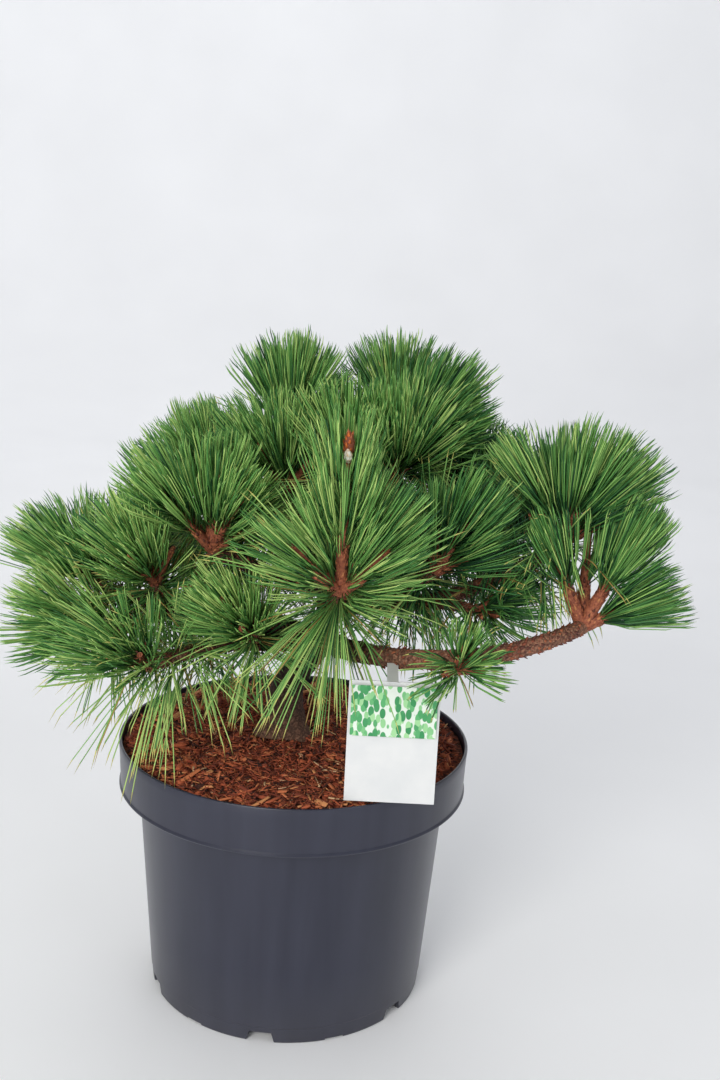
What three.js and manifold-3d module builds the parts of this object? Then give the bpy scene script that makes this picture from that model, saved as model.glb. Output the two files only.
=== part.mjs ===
// A young Japanese black pine, a low spreading garden form, growing in a round nursery pot.
// Millimetres, +Z up. The origin is the middle of the pot's flat underside, and the front is -Y.
//
// Pot, potting mix, trunk, boughs, a blank plant label and the masses of needles are separate solids.
// Every mass is one stem with shoots. A shoot is a slim core of small facets, and each facet that has
// room around it is drawn out into one needle spray. Touching pieces keep a gap of CLEAR between them.

import * as THREE from 'three';
import { mergeVertices } from 'three/addons/utils/BufferGeometryUtils.js';
import Module from 'manifold-3d';

const wasm = await Module();
wasm.setup();

// Driving dimensions

const CLEAR = 0.3;                     // gap between touching pieces

const POT = {
  rimRadius: 140,
  height: 209,
  bandHeight: 38,                      // the wide band below the rim
  bandRadius: 139,
  neckRadius: 124,                     // the body just under the band
  footRadius: 111,
  wall: 2.6,
  bevel: 1.2,
  channelHeight: 9,                    // the air channel under the floor
  channelInner: 72,
  channelOuter: 106,
  sides: 36,
};
const NOTCH = { count: 6, first: -96.5, width: 23, slope: 3, height: POT.channelHeight, depth: 12 };
const RECESS = { width: 17, slope: 1, height: 2, depth: 5 };

const SOIL = {
  edgeHeight: 203,                     // at the pot wall
  middleHeight: 205,
  mound: { x: -55, y: 60, height: 6, width: 45 },
  bump: 1.6,
  rings: 5,
  padRadius: 30,                       // the flat place the trunk is cut to
};

// The trunk from its cut at soil level to its tip: [x, y, height, radius].
const TRUNK = [
  [-10, 12, SOIL.middleHeight + CLEAR, 15.5],
  [-7, 14, 248, 12.5],
  [18, 4, 292, 11],
  [27, 14, 345, 8],
  [35, 11, 404, 5],
];
const FLARE = { height: 14, swell: 0.5, lobes: 3, lobeSwell: 0.16 };

const LIMB_SIDES = 5;
const TWIG_RADIUS = 3.2;               // the stem inside a mass
const SHOOT = { sides: 3, band: 8, base: 3.1, belly: 4, tip: 1.1, bud: 7 };
const NEEDLE = {
  length: 86,
  tipShare: 0.5,                       // needles by the bud have this share of the length
  openBase: 52,                        // degrees from the shoot, at its foot
  openTip: 15,
  jitter: 3,                           // degrees
  sway: 0.05,
  uneven: 0.06,
  droop: 0.02,
  point: 0.1,                          // radius of the tip
  rootShare: 0.16,                     // the root, where needles of one shoot stand side by side
  room: 0.9,                           // around a needle
  potRoom: 4,
  slack: 14,                           // how far a tip may reach past the middle between two masses
};
const SKIRT = { bands: 3, band: 7, open: [98, 74], length: 1.05, slack: 48, usual: [0.9, 0.34] };

// Boughs. "at" is a height on the trunk, or a share of the bough that "on" names. "to" is the heading
// that a bough runs out to, how far, and how much it climbs. "bow" is by how many degrees it sets off
// beside that line and above the level, and for which share of its length it keeps to that.
const BOUGHS = {
  right_low: { at: 288, to: [-16, 206, 40], bow: [-50, 10, 1.12], r: [8, 5] },
  right_high: { at: 318, to: [-13, 180, 70], bow: [0, -3, 0.5], r: [6.5, 4.2] },
  right_mid: { at: 324, to: [-37, 98, 40], bow: [6, 6, 0.5], r: [5.5, 4] },
  right_back: { at: 335, to: [20, 140, 27], bow: [12, 8, 0.5], r: [5.8, 4] },
  right_under: { on: 'right_high', at: 0.42, to: [-28, 48, 2], bow: [0, 6, 0.5], r: [3.8, 3.4] },
  right_tuft: { on: 'right_low', at: 0.5, to: [-70, 16, -2], bow: [0, -4, 0.5], r: [3.8, 3.4] },
  left_low: { at: 281, to: [-144, 148, 9], bow: [0, 20, 0.5], r: [6.5, 4.2] },
  left_mid: { at: 295, to: [182, 178, 32], bow: [22, 8, 0.5], r: [7, 4.2] },
  left_up: { on: 'left_mid', at: 0.68, to: [-108, 30, 28], bow: [0, 32, 0.5], r: [3.8, 3.4] },
  left_far_low: { on: 'left_mid', at: 0.62, to: [-166, 62, -14], bow: [0, -6, 0.5], r: [4.2, 3.6] },
  left_inner: { at: 338, to: [166, 98, 52], bow: [0, 16, 0.5], r: [5, 4] },
  left_high: { at: 328, to: [-151, 104, 42], bow: [0, 16, 0.5], r: [6.2, 4.2] },
  front_left: { on: 'left_low', at: 0.3, to: [-98, 60, 24], bow: [0, 10, 0.5], r: [4.4, 3.6] },
  front: { at: 304, to: [-84, 112, 58], bow: [0, 16, 0.5], r: [6.4, 4.4] },
  top_left: { at: 352, to: [134, 62, 94], bow: [0, 44, 0.5], r: [5.4, 3.8] },
  top_left_front: { at: 340, to: [172, 42, 64], bow: [0, 44, 0.5], r: [4.8, 3.8] },
  top_back: { at: 362, to: [60, 84, 86], bow: [0, 30, 0.5], r: [5.2, 3.8] },
  top_right: { at: 374, to: [36, 58, 62], bow: [0, 36, 0.5], r: [4.8, 3.8] },
  top_right_front: { at: 384, to: [2, 37, 34], bow: [0, 30, 0.5], r: [4.4, 3.6] },
  back_left_low: { at: 290, to: [143, 150, 30], bow: [8, 6, 0.5], r: [6.6, 4.2] },
  back_left_high: { at: 344, to: [148, 118, 36], bow: [0, 14, 0.5], r: [5.4, 4] },
  back_low: { at: 300, to: [92, 140, 30], bow: [-8, 6, 0.5], r: [6.4, 4.2] },
  back_high: { at: 356, to: [96, 112, 32], bow: [0, 14, 0.5], r: [5, 4] },
  back_right_low: { at: 308, to: [47, 146, 26], bow: [8, 6, 0.5], r: [6.2, 4.2] },
  back_right_high: { at: 348, to: [44, 128, 34], bow: [-6, 14, 0.5], r: [5.2, 4] },
};

// Masses of needles, those in front first. "lead" is the longest shoot: [heading, lift, length].
// "side" shoots fan out around it: [count, middle heading, step, lift, length]. "stem" is the length
// of limb inside the mass, "size" scales the needles, and "skirt" is the scale and droop of last
// year's needles around the stem, where they aren't the usual ones.
const MASSES = {
  front: { stem: 32, size: 0.98, lead: [-86, 80, 112], side: [3, 84, 118, 44, 52], skirt: [1.2, 0.2] },
  front_left: { stem: 16, size: 0.72, lead: [-138, 50, 44], side: [2, -140, 80, 26, 36], skirt: [1.15, 0.3] },
  left_high: { stem: 18, size: 1, lead: [-54, 80, 60], side: [3, 226, 76, 46, 70], skirt: [1, 0.3] },
  left_up: { stem: 14, size: 0.92, lead: [-104, 68, 54], side: [2, 206, 84, 36, 44] },
  left_low: { stem: 34, size: 1, lead: [-146, 20, 34], side: [2, -128, 74, 34, 34], skirt: [1.1, 0.5] },
  left_far_low: { stem: 14, size: 0.95, lead: [196, 34, 42], side: [2, 192, 62, 6, 42] },
  left_mid: { stem: 34, size: 0.92, lead: [178, 32, 52], side: [2, 134, 84, 50, 46] },
  right_mid: { stem: 30, size: 0.95, lead: [-39, 60, 60], side: [2, 60, 96, 46, 48], skirt: [1.05, 0.2] },
  right_high: { stem: 22, size: 0.98, lead: [-20, 76, 60], side: [3, 86, 88, 50, 62] },
  right_low: { stem: 16, size: 0.98, lead: [-10, 30, 42], side: [3, 84, 104, 66, 76], skirt: [0, 0] },
  right_tuft: { stem: 8, size: 0.48, lead: [-72, 68, 26], side: [2, -72, 92, 8, 20] },
  right_under: { stem: 12, size: 0.76, lead: [-8, 36, 28], side: [2, -24, 76, 8, 24] },
  left_inner: { stem: 16, size: 0.92, lead: [170, 70, 52], side: [2, 160, 110, 46, 48] },
  top_centre: { stem: 12, size: 0.92, lead: [-100, 82, 52], side: [2, -112, 100, 58, 50] },
  top_left_front: { stem: 12, size: 0.92, lead: [-66, 78, 52], side: [2, 204, 66, 50, 54] },
  top_left: { stem: 14, size: 0.84, lead: [-90, 84, 54], side: [2, 106, 108, 66, 48] },
  top_right_front: { stem: 10, size: 0.92, lead: [-100, 80, 52], side: [2, -52, 84, 56, 54] },
  top_right: { stem: 12, size: 0.92, lead: [-12, 56, 66], side: [2, 6, 76, 34, 56] },
  top_back: { stem: 14, size: 0.84, lead: [96, 82, 50], side: [2, 84, 110, 60, 50] },
  right_back: { stem: 18, size: 0.95, lead: [70, 76, 64], side: [2, 54, 88, 52, 56] },
  back_right_high: { stem: 18, size: 0.95, lead: [50, 70, 52], side: [2, 52, 110, 38, 48] },
  back_high: { stem: 18, size: 0.95, lead: [88, 70, 52], side: [2, 94, 104, 38, 48] },
  back_left_high: { stem: 18, size: 0.95, lead: [140, 66, 52], side: [2, 146, 106, 36, 48] },
  back_right_low: { stem: 20, size: 0.95, lead: [44, 42, 48], side: [2, 42, 100, 24, 44] },
  back_low: { stem: 20, size: 0.95, lead: [92, 40, 48], side: [2, 92, 100, 24, 44] },
  back_left_low: { stem: 20, size: 0.95, lead: [144, 42, 48], side: [2, 146, 100, 24, 44] },
};

// The blank plant label: a card that hangs by its own loop from the low right bough.
const LABEL = {
  width: 65,
  height: 92,
  thick: 0.8,
  share: 0.3,                          // where it hangs along the bough
  aside: 2,                            // from the loop to the card's middle
  forward: 36,                         // from the bough's axis to the card's face
  drop: 4,                             // from the bough's axis to the card's top edge
  strapWidth: 8,
  slack: 2.8,                          // the loop's room around the bough
  room: 4,
  seat: 1.6,                           // what is left of it on top, where the loop hangs
};

const FINISH = {
  pot: new THREE.MeshStandardMaterial({ color: 0x2f333c, roughness: 0.48, metalness: 0 }),
  soil: new THREE.MeshStandardMaterial({ color: 0x5b2c1c, roughness: 0.95, metalness: 0 }),
  bark: new THREE.MeshStandardMaterial({ color: 0x5f4334, roughness: 0.9, metalness: 0 }),
  label: new THREE.MeshStandardMaterial({ color: 0xf2f3f1, roughness: 0.4, metalness: 0 }),
};
const GREENS = [0x3f7a35, 0x47823a, 0x386f38, 0x4c8a3c, 0x2f6440];

// Small tools

const SEED = 1000;
const rad = THREE.MathUtils.degToRad;
const { lerp } = THREE.MathUtils;
const UP = new THREE.Vector3(0, 0, 1);

// A repeatable stream of numbers from 0 to 1.
function seeded(seed) {
  let state = seed;
  return () => {
    state = (state + 0x6d2b79f5) | 0;
    let mixed = Math.imul(state ^ (state >>> 15), 1 | state);
    mixed = (mixed + Math.imul(mixed ^ (mixed >>> 7), 61 | mixed)) ^ mixed;
    return ((mixed ^ (mixed >>> 14)) >>> 0) / 4294967296;
  };
}

function aim(heading, lift) {
  const flat = Math.cos(rad(lift));
  const turn = rad(heading);
  return new THREE.Vector3(flat * Math.cos(turn), flat * Math.sin(turn), Math.sin(rad(lift)));
}

// Two directions square to "along", the first as level as can be.
function crossways(along) {
  const guide = Math.abs(along.z) > 0.9 ? new THREE.Vector3(0, 1, 0) : UP;
  const side = new THREE.Vector3().crossVectors(along, guide).normalize();
  return [side, new THREE.Vector3().crossVectors(side, along).normalize()];
}

function solidOf(geometry) {
  const bare = geometry.clone();
  bare.deleteAttribute('normal');
  bare.deleteAttribute('uv');
  const merged = mergeVertices(bare, 1e-4);
  return new wasm.Manifold(new wasm.Mesh({
    numProp: 3,
    vertProperties: new Float32Array(merged.attributes.position.array),
    triVerts: new Uint32Array(merged.index.array),
  }));
}

function geometryOf(solid) {
  const mesh = solid.getMesh();
  const geometry = new THREE.BufferGeometry();
  geometry.setAttribute('position', new THREE.BufferAttribute(new Float32Array(mesh.vertProperties), 3));
  geometry.setIndex(new THREE.BufferAttribute(new Uint32Array(mesh.triVerts), 1));
  geometry.computeVertexNormals();
  return geometry;
}

function joined(solids) {
  return solids.reduce((whole, solid) => whole.add(solid));
}

// The largest closed piece, so that no loose scrap stays.
function mainPiece(solid) {
  const pieces = solid.decompose();
  return pieces.reduce((best, piece) => (piece.volume() > best.volume() ? piece : best));
}

// Pot

function potProfile() {
  const p = POT;
  const bandFoot = p.height - p.bandHeight;
  const outer = [
    [p.footRadius - 1, 0],
    [p.footRadius, 1],
    [p.neckRadius, bandFoot],
    [p.bandRadius - 1.4, bandFoot],
    [p.bandRadius, bandFoot + 1.2],
    [p.rimRadius, p.height - p.bevel],
    [p.rimRadius - p.bevel, p.height],
  ];
  const inner = [
    [p.rimRadius - p.wall, p.height],
    [p.bandRadius - p.wall, bandFoot + p.wall],
    [p.neckRadius - p.wall, bandFoot + p.wall / 2],
    [p.footRadius - p.wall + 0.8, p.channelHeight + p.wall],
    [p.channelInner - p.wall, p.channelHeight + p.wall],
    [p.channelInner - 2 * p.wall, p.wall],
    [0, p.wall],
  ];
  const under = [
    [0, 0],
    [p.channelInner - p.wall, 0],
    [p.channelInner, p.channelHeight],
    [p.channelOuter, p.channelHeight],
    [p.channelOuter + 1, 0],
  ];
  return [...under, ...outer, ...inner];
}

function lathe(points, sides) {
  const turned = new THREE.LatheGeometry(points.map(([r, z]) => new THREE.Vector2(r, z)), sides);
  return turned.rotateX(Math.PI / 2);
}

function makePot() {
  let pot = solidOf(lathe(potProfile(), POT.sides));
  for (let i = 0; i < NOTCH.count; i += 1) {
    const turn = rad(NOTCH.first + (i * 360) / NOTCH.count);
    pot = pot.subtract(solidOf(footCutter(NOTCH).rotateZ(turn)));
    const between = turn + rad(180 / NOTCH.count);
    pot = pot.subtract(solidOf(footCutter(RECESS).rotateZ(between)));
  }
  return pot;
}

// A wedge that cuts an opening with sloping sides into the foot ring, at the +X side.
function footCutter({ width, height, slope, depth }) {
  const shape = new THREE.Shape([
    new THREE.Vector2(-width / 2, -2),
    new THREE.Vector2(width / 2, -2),
    new THREE.Vector2(width / 2 - slope, height),
    new THREE.Vector2(slope - width / 2, height),
  ]);
  const wedge = new THREE.ExtrudeGeometry(shape, { depth, bevelEnabled: false });
  wedge.rotateX(Math.PI / 2).rotateZ(Math.PI / 2);
  return wedge.translate(POT.footRadius + 2 - depth, 0, 0);
}

// Potting mix

function soilHeight(x, y) {
  const from = Math.hypot(x, y) / POT.rimRadius;
  const dome = SOIL.middleHeight - (SOIL.middleHeight - SOIL.edgeHeight) * from ** 4;
  const { mound } = SOIL;
  const away = Math.hypot(x - mound.x, y - mound.y) / mound.width;
  const rough = SOIL.bump * Math.sin(x * 0.11 + 1.3) * Math.sin(y * 0.13 + 0.4);
  const level = dome + mound.height * Math.exp(-away * away) + rough;
  const fromTrunk = Math.hypot(x - TRUNK[0][0], y - TRUNK[0][1]) - SOIL.padRadius;
  const blend = THREE.MathUtils.smoothstep(fromTrunk, 0, SOIL.padRadius);
  return SOIL.middleHeight + (level - SOIL.middleHeight) * blend;
}

function makeSoil() {
  const p = POT;
  const gap = CLEAR + 0.1;
  const bandFoot = p.height - p.bandHeight;
  const top = [];
  const edge = p.rimRadius - p.wall - gap - 0.6;
  for (let i = 0; i < SOIL.rings; i += 1) {
    top.push([(edge * (SOIL.rings - i)) / SOIL.rings, SOIL.edgeHeight]);
  }
  const profile = [
    [0, p.wall + gap],
    [p.channelInner - 2 * p.wall - gap, p.wall + gap],
    [p.channelInner - p.wall - gap, p.channelHeight + p.wall + gap],
    [p.footRadius - p.wall - gap, p.channelHeight + p.wall + gap],
    [p.neckRadius - p.wall - 2 * gap, bandFoot + p.wall],
    [p.bandRadius - p.wall - 2 * gap, bandFoot + p.wall + gap],
    ...top,
    [0, SOIL.edgeHeight],
  ];
  const body = lathe(profile, POT.sides / 2);
  const place = body.attributes.position;
  for (let i = 0; i < place.count; i += 1) {
    if (place.getZ(i) > SOIL.edgeHeight - 0.01) {
      place.setZ(i, soilHeight(place.getX(i), place.getY(i)));
    }
  }
  const pad = new THREE.CylinderGeometry(SOIL.padRadius, SOIL.padRadius, 20, 16).rotateX(Math.PI / 2);
  pad.translate(TRUNK[0][0], TRUNK[0][1], SOIL.middleHeight + 10);
  return solidOf(body).subtract(solidOf(pad));
}

// Limbs

// A cylinder bent along a curve from share "from" to share "to", as thick as radiusAt says.
function limb(curve, from, to, radiusAt, sides, bands, flare = () => 1) {
  const rod = new THREE.CylinderGeometry(1, 1, 1, sides, bands);
  const place = rod.attributes.position;
  for (let i = 0; i < place.count; i += 1) {
    const share = from + (to - from) * (place.getY(i) + 0.5);
    const centre = curve.getPoint(share);
    const [side, over] = crossways(curve.steady ?? curve.getTangent(share));
    const turn = Math.atan2(place.getX(i), place.getZ(i));
    const out = Math.hypot(place.getX(i), place.getZ(i)) * radiusAt(share) * flare(centre, turn);
    centre.addScaledVector(side, out * Math.sin(turn)).addScaledVector(over, out * Math.cos(turn));
    place.setXYZ(i, centre.x, centre.y, centre.z);
  }
  return solidOf(rod);
}

const trunkCurve = new THREE.CatmullRomCurve3(TRUNK.map(([x, y, z]) => new THREE.Vector3(x, y, z)));
trunkCurve.steady = UP;

function trunkRadius(share) {
  const step = share * (TRUNK.length - 1);
  const i = Math.min(Math.floor(step), TRUNK.length - 2);
  return lerp(TRUNK[i][3], TRUNK[i + 1][3], step - i);
}

function trunkShare(height) {
  let low = 0;
  let high = 1;
  for (let i = 0; i < 30; i += 1) {
    const middle = (low + high) / 2;
    if (trunkCurve.getPoint(middle).z < height) low = middle;
    else high = middle;
  }
  return low;
}

function rootFlare(centre, turn) {
  const fade = Math.exp((TRUNK[0][2] - centre.z) / FLARE.height);
  return 1 + fade * (FLARE.swell + FLARE.lobeSwell * Math.cos(FLARE.lobes * turn));
}

function makeTrunk(grow = 0) {
  return limb(trunkCurve, 0, 1, (share) => trunkRadius(share) + grow, 9, 11, rootFlare);
}

// The line of a bough and its thickness along it, the part inside the mass included.
function boughLine(name) {
  const { on, at, to, bow, r } = BOUGHS[name];
  const [heading, reach, rise] = to;
  const [sweep, lift, pull] = bow;
  const start = on ? lines[on].curve.getPoint(at) : trunkCurve.getPoint(trunkShare(at));
  const control = start.clone().addScaledVector(aim(heading + sweep, lift), reach * pull);
  const end = start.clone().addScaledVector(aim(heading, 0), reach);
  end.z += rise;
  const curve = new THREE.QuadraticBezierCurve3(start, control, end);
  const tipShare = 1 - MASSES[name].stem / curve.getLength();
  return { curve, tipShare, radiusAt: (share) => lerp(r[0], r[1], share) };
}

const lines = {};
for (const name of Object.keys(BOUGHS)) {
  lines[name] = boughLine(name);
}

function boughSolid(name, grow = 0) {
  const { curve, tipShare, radiusAt } = lines[name];
  const bands = THREE.MathUtils.clamp(Math.round(curve.getLength() / 25), 2, 10);
  const over = grow / curve.getLength();
  return limb(curve, 0, tipShare + over, (share) => radiusAt(share) + grow, LIMB_SIDES, bands);
}

// Room for needles

// Tapered rods that are already there: limbs, shoots and needles, each with the mass it belongs to.
const rods = [];
const BEAD_STEP = 2.5;

function addRod(a, b, ra, rb, owner) {
  const box = new THREE.Box3().setFromPoints([a, b]).expandByScalar(Math.max(ra, rb));
  rods.push({ a, b, ra, rb, owner, box });
}

function addLimbRods(curve, from, to, radiusAt, owner) {
  const steps = 8;
  for (let i = 0; i < steps; i += 1) {
    const s = from + ((to - from) * i) / steps;
    const e = from + ((to - from) * (i + 1)) / steps;
    addRod(curve.getPoint(s), curve.getPoint(e), radiusAt(s), radiusAt(e), owner);
  }
}

// The gap from the skin of a round bead to the skin of a tapered rod.
function beadGap(bead, radius, rod) {
  const way = rod.b.clone().sub(rod.a);
  const share = THREE.MathUtils.clamp(bead.clone().sub(rod.a).dot(way) / way.lengthSq(), 0, 1);
  const nearest = rod.a.clone().addScaledVector(way, share);
  return nearest.distanceTo(bead) - radius - lerp(rod.ra, rod.rb, share);
}

// Two tapered rods are close where a row of beads along one of them comes close to the other.
function rodsClose(p, q) {
  const beads = Math.ceil(p.a.distanceTo(p.b) / BEAD_STEP);
  for (let i = 0; i <= beads; i += 1) {
    const radius = lerp(p.ra, p.rb, i / beads);
    if (beadGap(p.a.clone().lerp(p.b, i / beads), radius, q) < NEEDLE.room) return true;
  }
  return false;
}

function touchesRod(rod, skip) {
  const box = new THREE.Box3().setFromPoints([rod.a, rod.b]).expandByScalar(rod.ra + 2);
  return rods.some((other) => !skip(other) && box.intersectsBox(other.box) && rodsClose(rod, other));
}

// Needles stay out of the pot, the mix in it and the label.
function touchesPot(rod) {
  const steps = 10;
  for (let i = 0; i <= steps; i += 1) {
    const at = rod.a.clone().lerp(rod.b, i / steps);
    const overRim = Math.hypot(at.x, at.y) < POT.rimRadius + NEEDLE.potRoom;
    if (overRim && at.z < POT.height + NEEDLE.potRoom) return true;
    if (labelRooms.some((box) => box.containsPoint(at))) return true;
  }
  return false;
}

// Shoots and masses

function shootsOf(name) {
  const m = MASSES[name];
  const [sides, middle, step, lift, length] = m.side;
  const shoots = [{ along: aim(m.lead[0], m.lead[1]), length: m.lead[2] }];
  for (let i = 0; i < sides; i += 1) {
    shoots.push({ along: aim(middle + (i - (sides - 1) / 2) * step, lift), length });
  }
  return shoots;
}

function massLine(name) {
  if (name === 'top_centre') {
    const tip = trunkCurve.getPoint(1);
    const end = tip.clone().add(new THREE.Vector3(0, 0, MASSES[name].stem));
    return { start: tip, end, radius: trunkRadius(1) };
  }
  const { curve, tipShare, radiusAt } = lines[name];
  return { start: curve.getPoint(tipShare), end: curve.getPoint(1), radius: radiusAt(tipShare) };
}

const HEART_SHARE = 0.9;
const hearts = Object.fromEntries(Object.keys(MASSES).map((name) => {
  const shoots = shootsOf(name);
  const middle = massLine(name).end.clone();
  const pull = HEART_SHARE / shoots.length;
  for (const shoot of shoots) middle.addScaledVector(shoot.along, pull * shoot.length);
  return [name, middle];
}));

// A place is in the mass's own room when no other mass's heart is much nearer.
function inOwnRoom(name, at, slack) {
  const own = Math.min(at.distanceTo(hearts[name]), at.distanceTo(massLine(name).end)) - slack;
  return Object.entries(hearts).every(([other, heart]) => other === name || at.distanceTo(heart) > own);
}

// A core of small facets. "grow" says where the needle on a facet ends, or null for none.
function facetedCore({ from, way, length, radiusAt, bands }, grow) {
  const rod = new THREE.CylinderGeometry(1, 1, 1, SHOOT.sides, bands);
  const place = rod.attributes.position;
  const [side, over] = crossways(way);
  for (let i = 0; i < place.count; i += 1) {
    const share = place.getY(i) + 0.5;
    const twist = ((1 - share) * bands * Math.PI) / SHOOT.sides;
    const turn = Math.atan2(place.getX(i), place.getZ(i)) + twist;
    const out = Math.hypot(place.getX(i), place.getZ(i)) * radiusAt(share);
    const at = from.clone().addScaledVector(way, share * length);
    at.addScaledVector(side, out * Math.sin(turn)).addScaledVector(over, out * Math.cos(turn));
    place.setXYZ(i, at.x, at.y, at.z);
  }
  rod.deleteAttribute('normal');
  rod.deleteAttribute('uv');
  const core = mergeVertices(rod, 1e-4);
  const points = Array.from(core.attributes.position.array);
  const faces = [];
  const corner = (i) => new THREE.Vector3().fromArray(points, 3 * i);
  const index = core.index.array;
  for (let i = 0; i < index.length; i += 3) {
    const [a, b, c] = [index[i], index[i + 1], index[i + 2]];
    const middle = corner(a).add(corner(b)).add(corner(c)).divideScalar(3);
    const radius = middle.distanceTo(corner(a));
    const share = middle.clone().sub(from).dot(way) / length;
    const onSide = share > 0.01 && share < 0.99;
    const tip = onSide ? grow(middle, share, radius) : null;
    if (tip) {
      const apex = points.length / 3;
      points.push(tip.x, tip.y, tip.z);
      faces.push(a, b, apex, b, c, apex, c, a, apex);
    } else {
      faces.push(a, b, c);
    }
  }
  const geometry = new THREE.BufferGeometry();
  geometry.setAttribute('position', new THREE.Float32BufferAttribute(points, 3));
  geometry.setIndex(faces);
  return geometry;
}

// Whether a needle on a core of this mass has no room, from its root to its tip.
function isCrowded(name, part, root, tip, radius) {
  const ownMass = (other) => other.owner.startsWith(`${name} `);
  const ownCore = (other) => other.owner === part || other.owner === `${name} stem`;
  const whole = { a: root, b: tip, ra: radius, rb: NEEDLE.point };
  if (touchesPot(whole) || touchesRod(whole, ownMass)) return true;
  const share = NEEDLE.rootShare;
  const upper = { a: root.clone().lerp(tip, share), b: tip, ra: radius * (1 - share), rb: NEEDLE.point };
  return touchesRod(upper, (other) => !ownMass(other) || ownCore(other));
}

// Last year's needles stand around the stem and hang a little.
function stemPlan(name) {
  const { start, end, radius } = massLine(name);
  const [scale, droop] = MASSES[name].skirt ?? SKIRT.usual;
  const way = end.clone().sub(start);
  const length = way.length();
  way.normalize();
  return {
    part: `${name} stem`,
    from: start.clone().addScaledVector(way, CLEAR),
    way,
    length: length + TWIG_RADIUS / 2,
    bands: Math.max(SKIRT.bands, Math.round(length / SKIRT.band)),
    radiusAt: (share) => lerp(Math.max(radius, TWIG_RADIUS), TWIG_RADIUS, share),
    open: (share) => lerp(SKIRT.open[0], SKIRT.open[1], share),
    reach: () => NEEDLE.length * MASSES[name].size * SKIRT.length * scale,
    slack: SKIRT.slack,
    droop,
  };
}

// This year's needles open wide at the foot of a shoot and close up, shorter, towards its bud.
function shootPlan(name, shoot, i) {
  const budShare = 1 - SHOOT.bud / shoot.length;
  const full = NEEDLE.length * MASSES[name].size;
  return {
    part: `${name} ${i}`,
    from: massLine(name).end,
    way: shoot.along,
    length: shoot.length,
    bands: Math.round(shoot.length / SHOOT.band),
    radiusAt: (share) => {
      const swell = Math.sin(Math.PI * share);
      return share > 0.99 ? SHOOT.tip : lerp(SHOOT.base, SHOOT.belly, swell);
    },
    open: (share) => lerp(NEEDLE.openBase, NEEDLE.openTip, share ** 0.8),
    reach: (share) => (share > budShare ? 0 : full * lerp(1, NEEDLE.tipShare, share ** 1.2)),
    slack: NEEDLE.slack,
    droop: NEEDLE.droop,
  };
}

// One core with the needles that have room around it.
function growCore(name, plan, random) {
  const spread = (amount) => (random() * 2 - 1) * amount;
  const fresh = [];
  const grow = (root, share, radius) => {
    const out = root.clone().sub(plan.from);
    out.addScaledVector(plan.way, -out.dot(plan.way)).normalize();
    const wide = rad(plan.open(share) + spread(NEEDLE.jitter));
    out.multiplyScalar(Math.sin(wide)).addScaledVector(plan.way, Math.cos(wide));
    out.x += spread(NEEDLE.sway);
    out.y += spread(NEEDLE.sway);
    out.z -= plan.droop;
    const length = plan.reach(share) * (1 + spread(NEEDLE.uneven));
    const tip = root.clone().addScaledVector(out.normalize(), length);
    if (length === 0 || !inOwnRoom(name, tip, plan.slack)) return null;
    if (isCrowded(name, plan.part, root, tip, radius)) return null;
    fresh.push([root, tip, radius]);
    return tip;
  };
  const core = solidOf(facetedCore(plan, grow));
  for (const [root, tip, radius] of fresh) addRod(root, tip, radius, NEEDLE.point, plan.part);
  return core;
}

function plansOf(name) {
  return [stemPlan(name), ...shootsOf(name).map((shoot, i) => shootPlan(name, shoot, i))];
}

// Keeps room for the stem and shoots of a mass before any needle grows.
function addCoreRods(name) {
  for (const { part, from, way, length } of plansOf(name)) {
    addRod(from, from.clone().addScaledVector(way, length), SHOOT.belly, SHOOT.belly, part);
  }
}

function makeMass(name, seed) {
  const random = seeded(seed);
  return joined(plansOf(name).map((plan) => growCore(name, plan, random)));
}

// Label

const labelSeat = lines.right_low.curve.getPoint(LABEL.share);
const labelHold = lines.right_low.radiusAt(LABEL.share);
const labelMiddle = labelSeat.clone().add(
  new THREE.Vector3(LABEL.aside, -LABEL.forward, -LABEL.drop - LABEL.height / 2),
);
const labelRooms = [
  new THREE.Box3().setFromCenterAndSize(labelMiddle, new THREE.Vector3(LABEL.width, 0, LABEL.height)),
  new THREE.Box3().setFromPoints([
    labelSeat.clone().add(new THREE.Vector3(-LABEL.strapWidth, labelHold + LABEL.slack, labelHold)),
    labelSeat.clone().add(new THREE.Vector3(LABEL.strapWidth, -LABEL.forward, -LABEL.drop - labelHold)),
  ]),
].map((box) => box.expandByScalar(LABEL.room));

function makeLabel() {
  const inner = labelHold + LABEL.slack;
  const outer = inner + LABEL.thick;
  const along = lines.right_low.curve.getTangent(LABEL.share);
  const upright = new THREE.Quaternion().setFromUnitVectors(UP, along);
  const ring = new THREE.Shape().absarc(0, 0, outer, 0, Math.PI * 2, false);
  ring.holes.push(new THREE.Path().absarc(0, 0, inner, 0, Math.PI * 2, true));
  const strip = { depth: LABEL.strapWidth, bevelEnabled: false, curveSegments: 8 };
  const loop = new THREE.ExtrudeGeometry(ring, strip);
  loop.translate(0, 0, -LABEL.strapWidth / 2).applyQuaternion(upright);
  const reach = Math.hypot(LABEL.forward - inner, LABEL.drop);
  const strap = new THREE.BoxGeometry(LABEL.strapWidth, reach + 2, LABEL.thick);
  strap.translate(0, -reach / 2, 0).rotateX(Math.atan2(LABEL.drop, LABEL.forward - inner));
  strap.translate(0, -inner - 1, 0);
  const card = new THREE.BoxGeometry(LABEL.width, LABEL.thick, LABEL.height);
  card.translate(LABEL.aside, -LABEL.forward, -LABEL.drop - LABEL.height / 2);
  const down = LABEL.slack - LABEL.seat;
  return joined([loop, strap, card].map(solidOf)).translate([labelSeat.x, labelSeat.y, labelSeat.z - down]);
}

// Assembly

const plant = new THREE.Group();

function place(name, solid, material) {
  const mesh = new THREE.Mesh(geometryOf(mainPiece(solid)), material);
  mesh.name = name;
  plant.add(mesh);
}

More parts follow.
